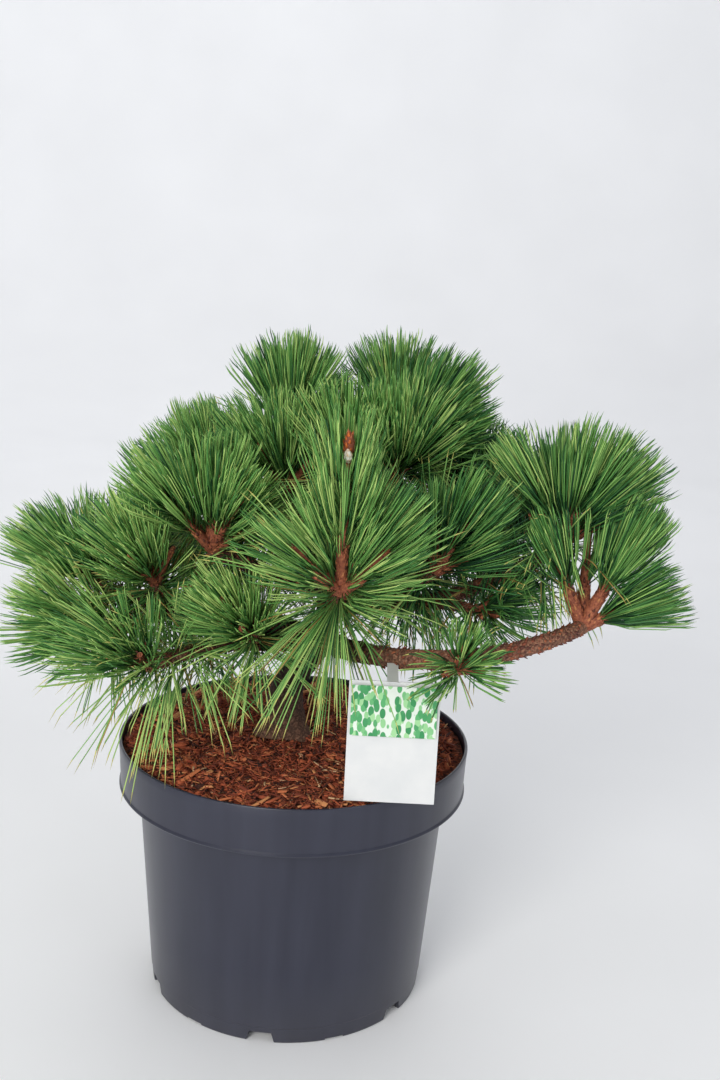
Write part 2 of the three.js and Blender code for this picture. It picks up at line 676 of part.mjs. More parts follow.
place('pot', makePot(), FINISH.pot);
place('soil', makeSoil(), FINISH.soil);
place('label', makeLabel(), FINISH.label);
place('trunk', makeTrunk(), FINISH.bark);

addLimbRods(trunkCurve, 0, 1, trunkRadius, 'limb');
const carried = { trunk: makeTrunk(CLEAR) };
for (const name of Object.keys(BOUGHS)) {
  const { curve, tipShare, radiusAt } = lines[name];
  let bough = boughSolid(name);
  for (const older of Object.values(carried)) bough = bough.subtract(older);
  place(`bough_${name}`, bough, FINISH.bark);
  carried[name] = boughSolid(name, CLEAR);
  addLimbRods(curve, 0, tipShare, radiusAt, 'limb');
}

Object.keys(MASSES).forEach(addCoreRods);
Object.keys(MASSES).forEach((name, i) => {
  const color = GREENS[i % GREENS.length];
  const green = new THREE.MeshStandardMaterial({ color, roughness: 0.6, metalness: 0 });
  place(`needles_${name}`, makeMass(name, SEED + i), green);
});

export default plant;
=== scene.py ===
# %% [markdown]
# # A young pine in a nursery pot
#
# This lesson dresses a small Japanese black pine that stands in a round plastic pot. The construction
# comes ready from the frame: pot, potting mix, trunk, boughs, label and masses of needles, each where
# it belongs. Blender adds what the eye looks for: moulded plastic, shredded bark, scaly limbs, and
# about twenty thousand single needles. Everything is in metres, in the frame's own place.

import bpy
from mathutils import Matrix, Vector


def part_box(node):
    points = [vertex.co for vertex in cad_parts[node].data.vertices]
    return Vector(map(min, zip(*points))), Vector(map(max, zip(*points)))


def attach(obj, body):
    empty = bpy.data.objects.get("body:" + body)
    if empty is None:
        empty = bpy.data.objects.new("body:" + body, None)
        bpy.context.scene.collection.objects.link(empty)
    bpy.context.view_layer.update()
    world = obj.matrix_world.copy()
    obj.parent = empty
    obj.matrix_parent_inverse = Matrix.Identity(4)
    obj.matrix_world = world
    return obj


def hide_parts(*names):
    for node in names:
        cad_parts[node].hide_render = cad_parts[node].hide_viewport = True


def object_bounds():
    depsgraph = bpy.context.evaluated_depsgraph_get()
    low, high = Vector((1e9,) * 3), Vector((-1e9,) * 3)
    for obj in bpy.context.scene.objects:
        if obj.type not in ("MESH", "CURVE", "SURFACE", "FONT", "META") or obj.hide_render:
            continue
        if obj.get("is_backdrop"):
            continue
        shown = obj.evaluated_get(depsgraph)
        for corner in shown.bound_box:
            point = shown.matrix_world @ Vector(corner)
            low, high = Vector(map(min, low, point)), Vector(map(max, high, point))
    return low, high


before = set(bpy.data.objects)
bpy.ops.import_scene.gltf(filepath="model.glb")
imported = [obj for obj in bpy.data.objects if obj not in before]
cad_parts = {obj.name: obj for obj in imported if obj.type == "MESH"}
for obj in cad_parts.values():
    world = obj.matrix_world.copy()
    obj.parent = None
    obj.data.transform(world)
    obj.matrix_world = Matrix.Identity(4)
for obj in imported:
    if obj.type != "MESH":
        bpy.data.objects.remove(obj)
CAD_BOX = [list(corner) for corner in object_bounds()]

# %% Tools and units
import math

import bmesh
import bpy
import numpy as np
from mathutils import Matrix, Vector

MM = 0.001
UP = np.array([0.0, 0.0, 1.0])
GOLDEN_TURN = math.radians(137.508)
rng = np.random.default_rng(7)
size = [high - low for low, high in zip(*CAD_BOX)]
print("frame nodes:", len(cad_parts), "size in mm:", [round(side / MM) for side in size])

# %% [markdown]
# ## Camera
#
# The plant is seen from the front and a little above, from about a metre away, by a camera that is
# tipped slightly to one side. A camera is a place, a direction and a lens, so all three are set by
# number: the pitch first, then a small roll about the line of sight.

# %% Place the camera
CAMERA_PLACE = (0.045, -1.016, 0.629)
CAMERA_PITCH = math.radians(90 - 14.13)
CAMERA_ROLL = math.radians(2.87)
SENSOR_WIDTH = 36
FOCAL_PIXELS = 1344
PHOTO_HEIGHT = 1080

camera = bpy.data.objects.new("camera", bpy.data.cameras.new("camera"))
bpy.context.scene.collection.objects.link(camera)
camera.data.sensor_width = SENSOR_WIDTH
camera.data.lens = SENSOR_WIDTH * FOCAL_PIXELS / PHOTO_HEIGHT
turned = Matrix.Rotation(CAMERA_PITCH, 4, "X") @ Matrix.Rotation(CAMERA_ROLL, 4, "Z")
camera.matrix_world = Matrix.Translation(CAMERA_PLACE) @ turned
bpy.context.scene.camera = camera
print("lens:", round(camera.data.lens, 1), "mm")

# %% [markdown]
# ## Colour and nodes
#
# Colours are written as sRGB hex values, as a paint chart gives them, and shaders work in linear
# light, so one function turns the first into the second. Materials are node trees. One small
# function adds a node with its settings, its values, the links into it and a ramp's stops. A link
# comes from a socket, or from a node, which then gives its first output. The scale of a pattern is
# one over the size of its waves or cells, so each pattern is named by that size.


# %% Helpers for materials
# A Mix node has sockets of one name for each kind of data. These are the ones for colours.
SHARE, FIRST, SECOND, MIXED = 0, 6, 7, 2


def linear(colour):
    channels = [int(colour[i:i + 2], 16) / 255 for i in (1, 3, 5)]
    return (*(c / 12.92 if c <= 0.04045 else ((c + 0.055) / 1.055) ** 2.4 for c in channels), 1.0)


def add_links(tree, node, links):
    for socket, source in links.items():
        tree.links.new(getattr(source, "outputs", [source])[0], node.inputs[socket])


def add_node(tree, kind, values=None, links=None, stops=(), **settings):
    """A node. The stops are pairs of a place and a hex colour."""
    node = tree.nodes.new(kind)
    for name, value in settings.items():
        setattr(node, name, value)
    for socket, value in (values or {}).items():
        node.inputs[socket].default_value = value
    add_links(tree, node, links or {})
    if stops:
        elements = node.color_ramp.elements
        while len(elements) < len(stops):
            elements.new(0.5)
        for element, (place, colour) in zip(elements, stops):
            element.position = place
            element.color = linear(colour)
    return node


def new_material(name, **values):
    """A material, its node tree and its shader, with plain values set on the shader's own sockets."""
    material = bpy.data.materials.new(name)
    material.use_nodes = True
    tree = material.node_tree
    shader = tree.nodes["Principled BSDF"]
    for socket, value in values.items():
        shader.inputs[socket.replace("_", " ")].default_value = value
    return material, tree, shader


def plain_finishes(name, colours, **values):
    """One plain material for each colour, for pieces whose colours are dealt out by face."""
    return [new_material(f"{name} {i + 1}", Base_Color=linear(colour), **values)[0]
            for i, colour in enumerate(colours)]


print("mid grey in linear light:", [round(c, 3) for c in linear("#808080")])

# %% [markdown]
# ## Helpers for modelling
#
# An operator acts on everything that is selected, so each piece starts from nothing selected and
# takes its name as soon as it is made. In edit mode, faces and edges are picked by a test of where
# they are or which way they face. A modifier is added, set and applied in one call.


# %% Helpers for modelling
def start():
    """Leaves nothing selected, so that the next operator works on the next piece alone."""
    if bpy.context.object and bpy.context.object.mode != "OBJECT":
        bpy.ops.object.mode_set(mode="OBJECT")
    bpy.ops.object.select_all(action="DESELECT")


def choose(piece):
    """Selects one piece alone and makes it the active one."""
    start()
    piece.select_set(True)
    bpy.context.view_layer.objects.active = piece


def named(name):
    """Names the piece that an operator has just made."""
    piece = bpy.context.object
    piece.name = name
    piece.data.name = name
    return piece


def join(pieces, name):
    choose(pieces[0])
    for piece in pieces:
        piece.select_set(True)
    bpy.ops.object.join()
    return named(name)


def edit(kind):
    """Edit mode, with all vertices, edges or faces selected."""
    bpy.ops.object.mode_set(mode="EDIT")
    bpy.ops.mesh.select_mode(type=kind)
    bpy.ops.mesh.select_all(action="SELECT")


def pick(kind, test):
    """Selects the vertices, edges or faces of the piece in edit mode that pass a test."""
    mesh = bmesh.from_edit_mesh(bpy.context.object.data)
    bpy.ops.mesh.select_all(action="DESELECT")
    for element in getattr(mesh, kind):
        if test(element):
            element.select_set(True)
    mesh.select_flush_mode()
    bmesh.update_edit_mesh(bpy.context.object.data)


def extrude(value, wider=1.0):
    bpy.ops.mesh.extrude_region_move(TRANSFORM_OT_translate={"value": value})
    if wider != 1.0:
        bpy.ops.transform.resize(value=(wider, wider, 1))


def tidy_faces(inside=False):
    bpy.ops.mesh.select_all(action="SELECT")
    bpy.ops.mesh.remove_doubles(threshold=1e-6)
    bpy.ops.mesh.normals_make_consistent(inside=inside)
    bpy.ops.object.mode_set(mode="OBJECT")


def modify(piece, kind, **settings):
    """Adds a modifier with its settings and applies it."""
    choose(piece)
    modifier = piece.modifiers.new(kind.lower(), kind)
    for name, value in settings.items():
        setattr(modifier, name, value)
    bpy.ops.object.modifier_apply(modifier=modifier.name)


def smooth(piece, degrees=35):
    """Smooth shading, with an edge kept where faces meet at more than this angle."""
    choose(piece)
    bpy.ops.object.shade_smooth_by_angle(angle=math.radians(degrees))


def dress(piece, *materials):
    """Gives a piece its materials. This sets every face back to the first of them."""
    piece.data.materials.clear()
    for material in materials:
        piece.data.materials.append(material)


def vertices_of(piece):
    places = np.empty(len(piece.data.vertices) * 3)
    piece.data.vertices.foreach_get("co", places)
    return places.reshape(-1, 3)


def put_vertices(piece, places):
    piece.data.vertices.foreach_set("co", np.asarray(places).ravel())
    piece.data.update()


def triangles(piece):
    return sum(len(face.vertices) - 2 for face in piece.data.polygons)


def finish_piece(piece, slot, *nodes):
    """The piece rides with the object and stands for its nodes, which it hides. The slot is not used."""
    start()
    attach(piece, "root")
    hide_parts(*nodes)
    print(piece.name, "triangles:", triangles(piece), "stands for", len(nodes), "nodes")


print("ready to model")

# %% [markdown]
# ## Studio
#
# The plant stands on a plain pale surface in soft light. A large disc with its edge swept up all
# round gives the same quiet background from every side. It is one circle, extruded and widened in
# steps along a quarter turn. Its paint is matt, with a faint mottle a third of a metre wide, so that
# the pale wall isn't dead flat. Four lamps light it: the main one in front on the left, a weak one on
# the right that opens the shadows, one behind that rims the crown, and one at the back for the wall.
# A pale world fills the rest.

# %% Floor with a swept edge
STAGE_RADIUS = 2.4
STAGE_CORNER = 1.2
STAGE_TOP = 2.3
CORNER_STEPS = 12
MOTTLE = 333 * MM

start()
bpy.ops.mesh.primitive_circle_add(vertices=96, radius=STAGE_RADIUS, fill_type="NGON")
floor = named("floor")
edit("FACE")
reached = (STAGE_RADIUS, 0.0)
for step in range(1, CORNER_STEPS + 1):
    angle = math.pi / 2 * step / CORNER_STEPS
    wide = STAGE_RADIUS + STAGE_CORNER * math.sin(angle)
    high = STAGE_CORNER * (1 - math.cos(angle))
    extrude((0, 0, high - reached[1]), wide / reached[0])
    reached = (wide, high)
extrude((0, 0, STAGE_TOP - reached[1]))
bpy.ops.mesh.delete(type="FACE")
tidy_faces(inside=True)
smooth(floor)

paint, tree, shader = new_material("matt studio paint", Roughness=0.6)
place = add_node(tree, "ShaderNodeTexCoord").outputs["Object"]
mottle = add_node(tree, "ShaderNodeTexNoise", {"Scale": 1 / MOTTLE, "Detail": 2.0}, {"Vector": place})
soft = add_node(tree, "ShaderNodeValToRGB", None, {"Fac": mottle}, [(0.3, "#f3f4f6"), (0.7, "#f7f8fa")])
add_links(tree, shader, {"Base Color": soft})
dress(floor, paint)
floor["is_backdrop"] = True
print("floor faces:", len(floor.data.polygons))


# %% Lamps and world
def lamp(name, place, target, wide, high, watts, colour):
    """A rectangular lamp at a place, turned to a target, with its width and height in metres."""
    light = bpy.data.lights.new(name, "AREA")
    light.shape = "RECTANGLE"
    light.size = wide
    light.size_y = high
    light.energy = watts
    light.color = linear(colour)[:3]
    stand = bpy.data.objects.new(name, light)
    bpy.context.scene.collection.objects.link(stand)
    away = Vector(place) - Vector(target)
    stand.matrix_world = Matrix.Translation(place) @ away.to_track_quat("Z", "Y").to_matrix().to_4x4()


lamp("main light", (-0.75, -2.0, 1.15), (0, 0, 0.3), 1.0, 0.9, 34, "#fffdf8")
lamp("fill light", (1.4, -1.5, 0.9), (0, 0, 0.3), 1.2, 1.2, 4, "#f6f9ff")
lamp("back light", (0.3, 1.5, 1.8), (0, 0, 0.4), 1.6, 1.0, 6, "#ffffff")
lamp("wall light", (-0.5, 2.1, 2.3), (-0.5, 3.0, 0.2), 2.4, 1.2, 15, "#ffffff")

world = bpy.data.worlds.new("studio")
world.use_nodes = True
bpy.context.scene.world = world
background = world.node_tree.nodes["Background"]
background.inputs["Color"].default_value = linear("#f7f8fb")
background.inputs["Strength"].default_value = 0.5
bpy.context.scene.view_settings.view_transform = "Standard"

# %% [markdown]
# ## Pot
#
# The pot is a thin wall of black-blue polypropylene, made in an injection mould: a tapering body, a
# wide band below the rim with a small bead at its lower edge, an air channel under the floor and a
# foot ring with drain notches. It is a turned shape, so its wall section is drawn once, point by
# point, and spun about the middle axis.

# %% Pot dimensions
RIM_RADIUS = 140 * MM
POT_HEIGHT = 209 * MM
BAND_HEIGHT = 38 * MM
BAND_RADIUS = 139 * MM
NECK_RADIUS = 124 * MM
FOOT_RADIUS = 111 * MM
WALL = 2.6 * MM
CHANNEL_HEIGHT = 9 * MM
CHANNEL_INNER = 72 * MM
CHANNEL_OUTER = 106 * MM
BAND_FOOT = POT_HEIGHT - BAND_HEIGHT
FOOT_LINE = 13 * MM
FOOT_STEP = 0.5 * MM
EDGE = 1 * MM
BEAD = 1.1 * MM
LIP = 1.3 * MM
POT_SIDES = 144


def body_radius(height):
    """The outer wall between foot and neck is a straight taper."""
    return FOOT_RADIUS + (NECK_RADIUS - FOOT_RADIUS) * height / BAND_FOOT


def rounded(centre, radius, begin, finish, steps=4):
    """Points of an arc in the section, between two angles in degrees."""
    angles = np.radians(np.linspace(begin, finish, steps + 1))
    return [(centre[0] + radius * math.cos(a), centre[1] + radius * math.sin(a)) for a in angles]


section = [
    (0, 0),
    (CHANNEL_INNER - WALL, 0),
    (CHANNEL_INNER, CHANNEL_HEIGHT),
    (CHANNEL_OUTER, CHANNEL_HEIGHT),
    (CHANNEL_OUTER + EDGE, 0),
    (FOOT_RADIUS - EDGE, 0),
    (FOOT_RADIUS, EDGE),
    (body_radius(FOOT_LINE), FOOT_LINE),
    (body_radius(FOOT_LINE) + FOOT_STEP, FOOT_LINE + FOOT_STEP),
    (NECK_RADIUS - 0.5 * MM, BAND_FOOT - 3 * MM),
    (NECK_RADIUS, BAND_FOOT - 0.6 * MM),
    (NECK_RADIUS + EDGE, BAND_FOOT),
    *rounded((BAND_RADIUS - 0.5 * MM, BAND_FOOT + BEAD), BEAD, -90, 60),
    (BAND_RADIUS - 0.6 * MM, BAND_FOOT + 2.9 * MM),
    (RIM_RADIUS - 0.5 * MM, POT_HEIGHT - 7 * MM),
    *rounded((RIM_RADIUS - LIP, POT_HEIGHT - LIP), LIP, 0, 180),
    (RIM_RADIUS - WALL - 0.2 * MM, POT_HEIGHT - 6 * MM),
    (BAND_RADIUS - WALL, BAND_FOOT + WALL),
    (NECK_RADIUS - WALL, BAND_FOOT + WALL / 2),
    (FOOT_RADIUS - WALL + 0.8 * MM, CHANNEL_HEIGHT + WALL),
    (CHANNEL_INNER - WALL, CHANNEL_HEIGHT + WALL),
    (CHANNEL_INNER - 2 * WALL, WALL),
    (0, WALL),
]
print("points in the wall section:", len(section))

# %% Spin the wall
start()
bpy.ops.mesh.primitive_plane_add(size=2 * MM)
pot = named("pot_shell")
edit("VERT")
pick("verts", lambda vertex: vertex.index > 0)
bpy.ops.mesh.delete(type="VERT")
bpy.ops.mesh.select_all(action="SELECT")
first = bmesh.from_edit_mesh(pot.data).verts[:][0].co.copy()
bpy.ops.transform.translate(value=(section[0][0] - first.x, -first.y, section[0][1] - first.z))
for (r0, z0), (r1, z1) in zip(section, section[1:]):
    extrude((r1 - r0, 0, z1 - z0))
bpy.ops.mesh.select_all(action="SELECT")
bpy.ops.mesh.spin(steps=POT_SIDES, angle=2 * math.pi, center=(0, 0, 0), axis=(0, 0, 1))
tidy_faces()
print("pot faces after the spin:", len(pot.data.polygons))

# %% [markdown]
# The foot ring has six drain notches with sloping sides, and a shallow recess between each two. A
# cutter is one cube with its top pushed narrower. Six turned copies of it are joined and taken out
# of the ring by a Boolean.


# %% Notches and recesses in the foot
NOTCHES = 6
FIRST_NOTCH = -96.5
NOTCH_STEP = 360 / NOTCHES
PAST = 2 * MM


def foot_cutters(name, first, width, height, slope, depth):
    """Turned copies of one cutter, which stands past the ring outside and below it."""
    parts = []
    for i in range(NOTCHES):
        start()
        bpy.ops.mesh.primitive_cube_add(size=1)
        part = named(name)
        edit("FACE")
        bpy.ops.transform.resize(value=(depth, width, height + PAST))
        bpy.ops.transform.translate(value=(FOOT_RADIUS + PAST - depth / 2, 0, height / 2 - PAST / 2))
        pick("faces", lambda face: face.normal.z > 0.9)
        bpy.ops.transform.resize(value=(1, (width - 2 * slope) / width, 1))
        bpy.ops.mesh.select_all(action="SELECT")
        turn = math.radians(first + NOTCH_STEP * i)
        bpy.ops.transform.rotate(value=-turn, orient_axis="Z", center_override=(0, 0, 0))
        bpy.ops.object.mode_set(mode="OBJECT")
        parts.append(part)
    return join(parts, name)


notches = foot_cutters("notches", FIRST_NOTCH, 23 * MM, CHANNEL_HEIGHT, 3 * MM, 12 * MM)
recesses = foot_cutters("recesses", FIRST_NOTCH + NOTCH_STEP / 2, 17 * MM, 2 * MM, 1 * MM, 5 * MM)
for cutter in (notches, recesses):
    modify(pot, "BOOLEAN", operation="DIFFERENCE", solver="EXACT", object=cutter)
    bpy.data.objects.remove(cutter)
smooth(pot, 28)
print("pot triangles:", triangles(pot))

# %% [markdown]
# Moulded polypropylene is satin, not glossy. It has a faint grain that breaks up its reflections,
# slight up-and-down flow marks from the mould, and a breath of dust near the foot. The colour is a
# very dark blue grey. Grain is 0.3 mm in life and is drawn at about 1 mm, where it starts to show.
# The flow marks are 17 mm wide and 200 mm long, and the roughness changes in clouds of 110 mm.

# %% Satin polypropylene
GRAIN = 1.111 * MM
GRAIN_DEPTH = 0.3 * MM
FLOW_MARK = (16.667 * MM, 16.667 * MM, 200 * MM)
CLOUD = 111.1 * MM
DUST_HEIGHT = 60 * MM
DUST_SHARE = 0.22

plastic, tree, shader = new_material("satin polypropylene", IOR=1.49)
place = add_node(tree, "ShaderNodeTexCoord").outputs["Object"]
grain = add_node(tree, "ShaderNodeTexNoise", {"Scale": 1 / GRAIN, "Detail": 3.0}, {"Vector": place})
drawn = add_node(tree, "ShaderNodeMapping", {"Scale": [1 / side for side in FLOW_MARK]}, {"Vector": place})
flow = add_node(tree, "ShaderNodeTexNoise", {"Scale": 1.0, "Detail": 4.0}, {"Vector": drawn})
cloudy = add_node(tree, "ShaderNodeTexNoise", {"Scale": 1 / CLOUD, "Detail": 5.0}, {"Vector": place})
height = add_node(tree, "ShaderNodeSeparateXYZ", None, {"Vector": place}).outputs["Z"]
low = add_node(tree, "ShaderNodeMapRange", {"From Max": DUST_HEIGHT, "To Min": 1.0, "To Max": 0.0},
               {"Value": height})
dust = add_node(tree, "ShaderNodeMath", None, {0: low, 1: cloudy}, operation="MULTIPLY")
body = add_node(tree, "ShaderNodeValToRGB", None, {"Fac": flow}, [(0.3, "#242635"), (0.7, "#2d2f3e")])
dusty = add_node(tree, "ShaderNodeMix", {SECOND: linear("#666460")}, {SHARE: dust, FIRST: body},
                 data_type="RGBA")
worn = add_node(tree, "ShaderNodeMix", {SHARE: DUST_SHARE}, {FIRST: body, SECOND: dusty.outputs[MIXED]},
                data_type="RGBA")
matt = add_node(tree, "ShaderNodeMapRange", {"To Min": 0.24, "To Max": 0.38}, {"Value": cloudy})
bumps = add_node(tree, "ShaderNodeBump", {"Strength": 0.12, "Distance": GRAIN_DEPTH}, {"Height": grain})
add_links(tree, shader, {"Base Color": worn.outputs[MIXED], "Roughness": matt, "Normal": bumps})
dress(pot, plastic)
finish_piece(pot, "pot_plastic", "pot")

# %% [markdown]
# ## One way to make many
#
# Needles, scales and shreds of bark come in thousands. Each is modelled once, standing along Z from
# 0 to 1, and read into arrays. A copy has its own root, the way it sets off, how far it bends, and
# its two crosswise sizes, so that one multiplication places every vertex of every copy. The copies
# become one mesh with a few plain materials, each copy with its own tone.


# %% Model once, copy often
def as_model(piece):
    """The vertices and faces of a modelled piece. The piece itself goes."""
    places = vertices_of(piece)
    faces = [tuple(face.vertices) for face in piece.data.polygons]
    bpy.data.objects.remove(piece)
    return places, faces


def unit(vectors):
    return vectors / np.linalg.norm(vectors, axis=-1, keepdims=True)


def crossways(way):
    """Two directions square to each way."""
    guide = np.where(np.abs(way[..., 2:3]) > 0.9, np.array([0.0, 1.0, 0.0]), UP)
    side = unit(np.cross(way, guide))
    return side, unit(np.cross(side, way))


def spoke(way, turn):
    """The direction straight out of a shoot, at a turn around it."""
    side, over = crossways(way)
    return side * np.cos(turn) + over * np.sin(turn)


def copy_all(model, root, way, bend, side, over):
    """Places of all copies: along "way", turned by "bend" towards the tip, "side" and "over" across."""
    x, y, z = (model[0][None, :, axis, None] for axis in range(3))
    parts = [np.asarray(part)[:, None, :] for part in (root, way, bend, side, over)]
    return parts[0] + z * parts[1] + z ** 2 * parts[2] + x * parts[3] + y * parts[4]


def many(name, batches, materials):
    """One mesh from batches of (model, places of the copies, tone of each face of each copy)."""
    points = []
    corners = []
    starts = []
    tones = []
    point_count = 0
    corner_count = 0
    for (places, faces), copies, tone in batches:
        corner = np.concatenate([np.array(face) for face in faces])
        begin = np.cumsum([0] + [len(face) for face in faces[:-1]])
        number = np.arange(len(copies))[:, None]
        points.append(copies.reshape(-1, 3))
        corners.append((corner + number * len(places) + point_count).ravel())
        starts.append((begin + number * len(corner) + corner_count).ravel())
        tones.append(np.broadcast_to(tone, (len(copies), len(faces))).ravel())
        point_count += len(copies) * len(places)
        corner_count += len(copies) * len(corner)
    mesh = bpy.data.meshes.new(name)
    mesh.vertices.add(point_count)
    mesh.vertices.foreach_set("co", np.concatenate(points).ravel())
    mesh.loops.add(corner_count)
    mesh.loops.foreach_set("vertex_index", np.concatenate(corners))
    starts = np.concatenate(starts)
    mesh.polygons.add(len(starts))
    mesh.polygons.foreach_set("loop_start", starts)
    mesh.polygons.foreach_set("use_smooth", np.ones(len(starts), bool))
    mesh.update(calc_edges=True)
    piece = bpy.data.objects.new(name, mesh)
    bpy.context.scene.collection.objects.link(piece)
    dress(piece, *materials)
    tones = np.concatenate(tones).astype(np.int32)
    mesh.polygons.foreach_set("material_index", tones)
    print(name, "faces of each tone:", np.bincount(tones, minlength=len(materials)))
    return piece


print("ready to copy")

# %% [markdown]
# ## Potting mix
#
# The pot is filled with shredded pine bark: red-brown fibres and splinters of a few millimetres with
# some larger orange chips by the rim. The body is one circle, extruded down inside the wall, with
# its top inset ring by ring so that the surface can rise and fall. The shreds lie on that surface.

# %% Body of the mix
MIX_EDGE = 203 * MM
MIX_MIDDLE = 205 * MM
MOUND_PLACE = (-55 * MM, 60 * MM)
MOUND_HEIGHT = 6 * MM
MOUND_WIDTH = 45 * MM
TRUNK_FOOT = (-10 * MM, 12 * MM)
PAD_RADIUS = 30 * MM
MIX_BUMP = 1.6 * MM
MIX_CRUMB = 0.5 * MM
MIX_FOOT = 20 * MM
MIX_ROOM = WALL + 1 * MM
MIX_RADIUS = RIM_RADIUS - MIX_ROOM
RINGS = 26


def mix_height(x, y):
    """The mix is a little domed, with a mound at the back left, and flat where the trunk stands."""
    outward = np.hypot(x, y) / RIM_RADIUS
    dome = MIX_MIDDLE - (MIX_MIDDLE - MIX_EDGE) * outward ** 4
    away = np.hypot(x - MOUND_PLACE[0], y - MOUND_PLACE[1]) / MOUND_WIDTH
    rough = MIX_BUMP * np.sin(x / MM * 0.11 + 1.3) * np.sin(y / MM * 0.13 + 0.4)
    level = dome + MOUND_HEIGHT * np.exp(-away * away) + rough
    from_trunk = (np.hypot(x - TRUNK_FOOT[0], y - TRUNK_FOOT[1]) - PAD_RADIUS) / PAD_RADIUS
    share = np.clip(from_trunk, 0, 1)
    return MIX_MIDDLE + (level - MIX_MIDDLE) * share * share * (3 - 2 * share)


start()
reached = (MIX_FOOT, body_radius(MIX_FOOT) - MIX_ROOM)
bpy.ops.mesh.primitive_circle_add(
    vertices=96, radius=reached[1], fill_type="NGON", location=(0, 0, MIX_FOOT))
mix = named("mix_body")
edit("FACE")
for high, outside in ((BAND_FOOT, NECK_RADIUS), (BAND_FOOT + MIX_ROOM, BAND_RADIUS), (MIX_EDGE, RIM_RADIUS)):
    extrude((0, 0, high - reached[0]), (outside - MIX_ROOM) / reached[1])
    reached = (high, outside - MIX_ROOM)
for ring in range(RINGS):
    bpy.ops.mesh.inset(thickness=MIX_RADIUS / (RINGS + 1), depth=0)
bpy.ops.mesh.poke()
tidy_faces()
bpy.ops.object.transform_apply(location=True, rotation=True, scale=True)
places = vertices_of(mix)
on_top = places[:, 2] > MIX_EDGE - 0.01 * MM
lift = rng.normal(0, MIX_CRUMB, on_top.sum())
places[on_top, 2] = mix_height(places[on_top, 0], places[on_top, 1]) - 2 * MIX_CRUMB + lift
put_vertices(mix, places)
smooth(mix, 60)
print("top of the mix:", round(places[:, 2].max() / MM, 1), "mm")

# %% [markdown]
# Between the shreds the mix is dark and crumbly. A noise at 3.3 mm picks its browns, and one at
# 1.1 mm lifts the crumbs. The shreds themselves are seven plain browns, from near black to straw,
# because a plain colour stays put on a mesh of thousands of small pieces.

# %% Crumbly mix
CLUMP = 3.333 * MM
FINE_CRUMB = 1.111 * MM
CRUMB_DEPTH = 1 * MM

crumb, tree, shader = new_material("damp bark crumbs", Roughness=0.92)
place = add_node(tree, "ShaderNodeTexCoord").outputs["Object"]
coarse = add_node(tree, "ShaderNodeTexNoise", {"Scale": 1 / CLUMP, "Detail": 6.0}, {"Vector": place})
earth = add_node(tree, "ShaderNodeValToRGB", None, {"Fac": coarse},
                 [(0.35, "#2e130b"), (0.5, "#7f3a25"), (0.65, "#b4603c")])
fine = add_node(tree, "ShaderNodeTexNoise", {"Scale": 1 / FINE_CRUMB, "Detail": 4.0}, {"Vector": place})
bumps = add_node(tree, "ShaderNodeBump", {"Strength": 0.9, "Distance": CRUMB_DEPTH}, {"Height": fine})
add_links(tree, shader, {"Base Color": earth, "Normal": bumps})
dress(mix, crumb)
finish_piece(mix, "potting_mix", "soil")

# %% Browns of shredded bark
BARK_TONES = ["#3c180f", "#7a3622", "#9c4a2e", "#b45b39", "#c67248", "#d18d5b", "#dcb48a"]
TONE_SHARES = [0.16, 0.24, 0.24, 0.18, 0.1, 0.06, 0.02]
LARGE_SHARES = [0.0, 0.05, 0.15, 0.25, 0.3, 0.2, 0.05]
shred_finishes = plain_finishes("shredded bark", BARK_TONES, Roughness=0.85)
print("browns:", len(shred_finishes))

# %% Model a splinter and a flake
start()
bpy.ops.mesh.primitive_cone_add(vertices=4, radius1=0.5, radius2=0.2, depth=1, location=(0, 0, 0.5))
splinter = named("splinter")
bpy.ops.object.transform_apply(location=True)
edit("EDGE")
pick("edges", lambda edge: abs(edge.verts[0].co.z - edge.verts[1].co.z) > 0.5)
bpy.ops.mesh.subdivide(number_cuts=1)
pick("verts", lambda vertex: 0.3 < vertex.co.z < 0.7)
bpy.ops.transform.resize(value=(1.25, 0.9, 1))
bpy.ops.transform.translate(value=(0.18, 0.1, 0.06))
bpy.ops.object.mode_set(mode="OBJECT")
SPLINTER = as_model(splinter)

start()
bpy.ops.mesh.primitive_cube_add(size=1, location=(0, 0, 0.5))
flake = named("flake")
bpy.ops.object.transform_apply(location=True)
edit("FACE")
bpy.ops.mesh.subdivide(number_cuts=1)
bpy.ops.object.mode_set(mode="OBJECT")
places = vertices_of(flake)
ends = np.abs(places[:, 2] - 0.5) > 0.4
places[ends, 0] *= 0.62
places += rng.normal(0, 0.07, places.shape)
put_vertices(flake, places)
FLAKE = as_model(flake)
print("faces of a splinter and a flake:", len(SPLINTER[1]), len(FLAKE[1]))


# %% Scatter the shreds
EDGE_ROOM = 4 * MM
TRUNK_ROOM = 14 * MM
WALL_ROOM = 1.5 * MM
# How deep and how high a shred lies in mm, how far it rolls in radians, and how much it bends.
LIE = (-0.6, 2.2)
ROLL = 0.7
SHRED_BEND = 0.12


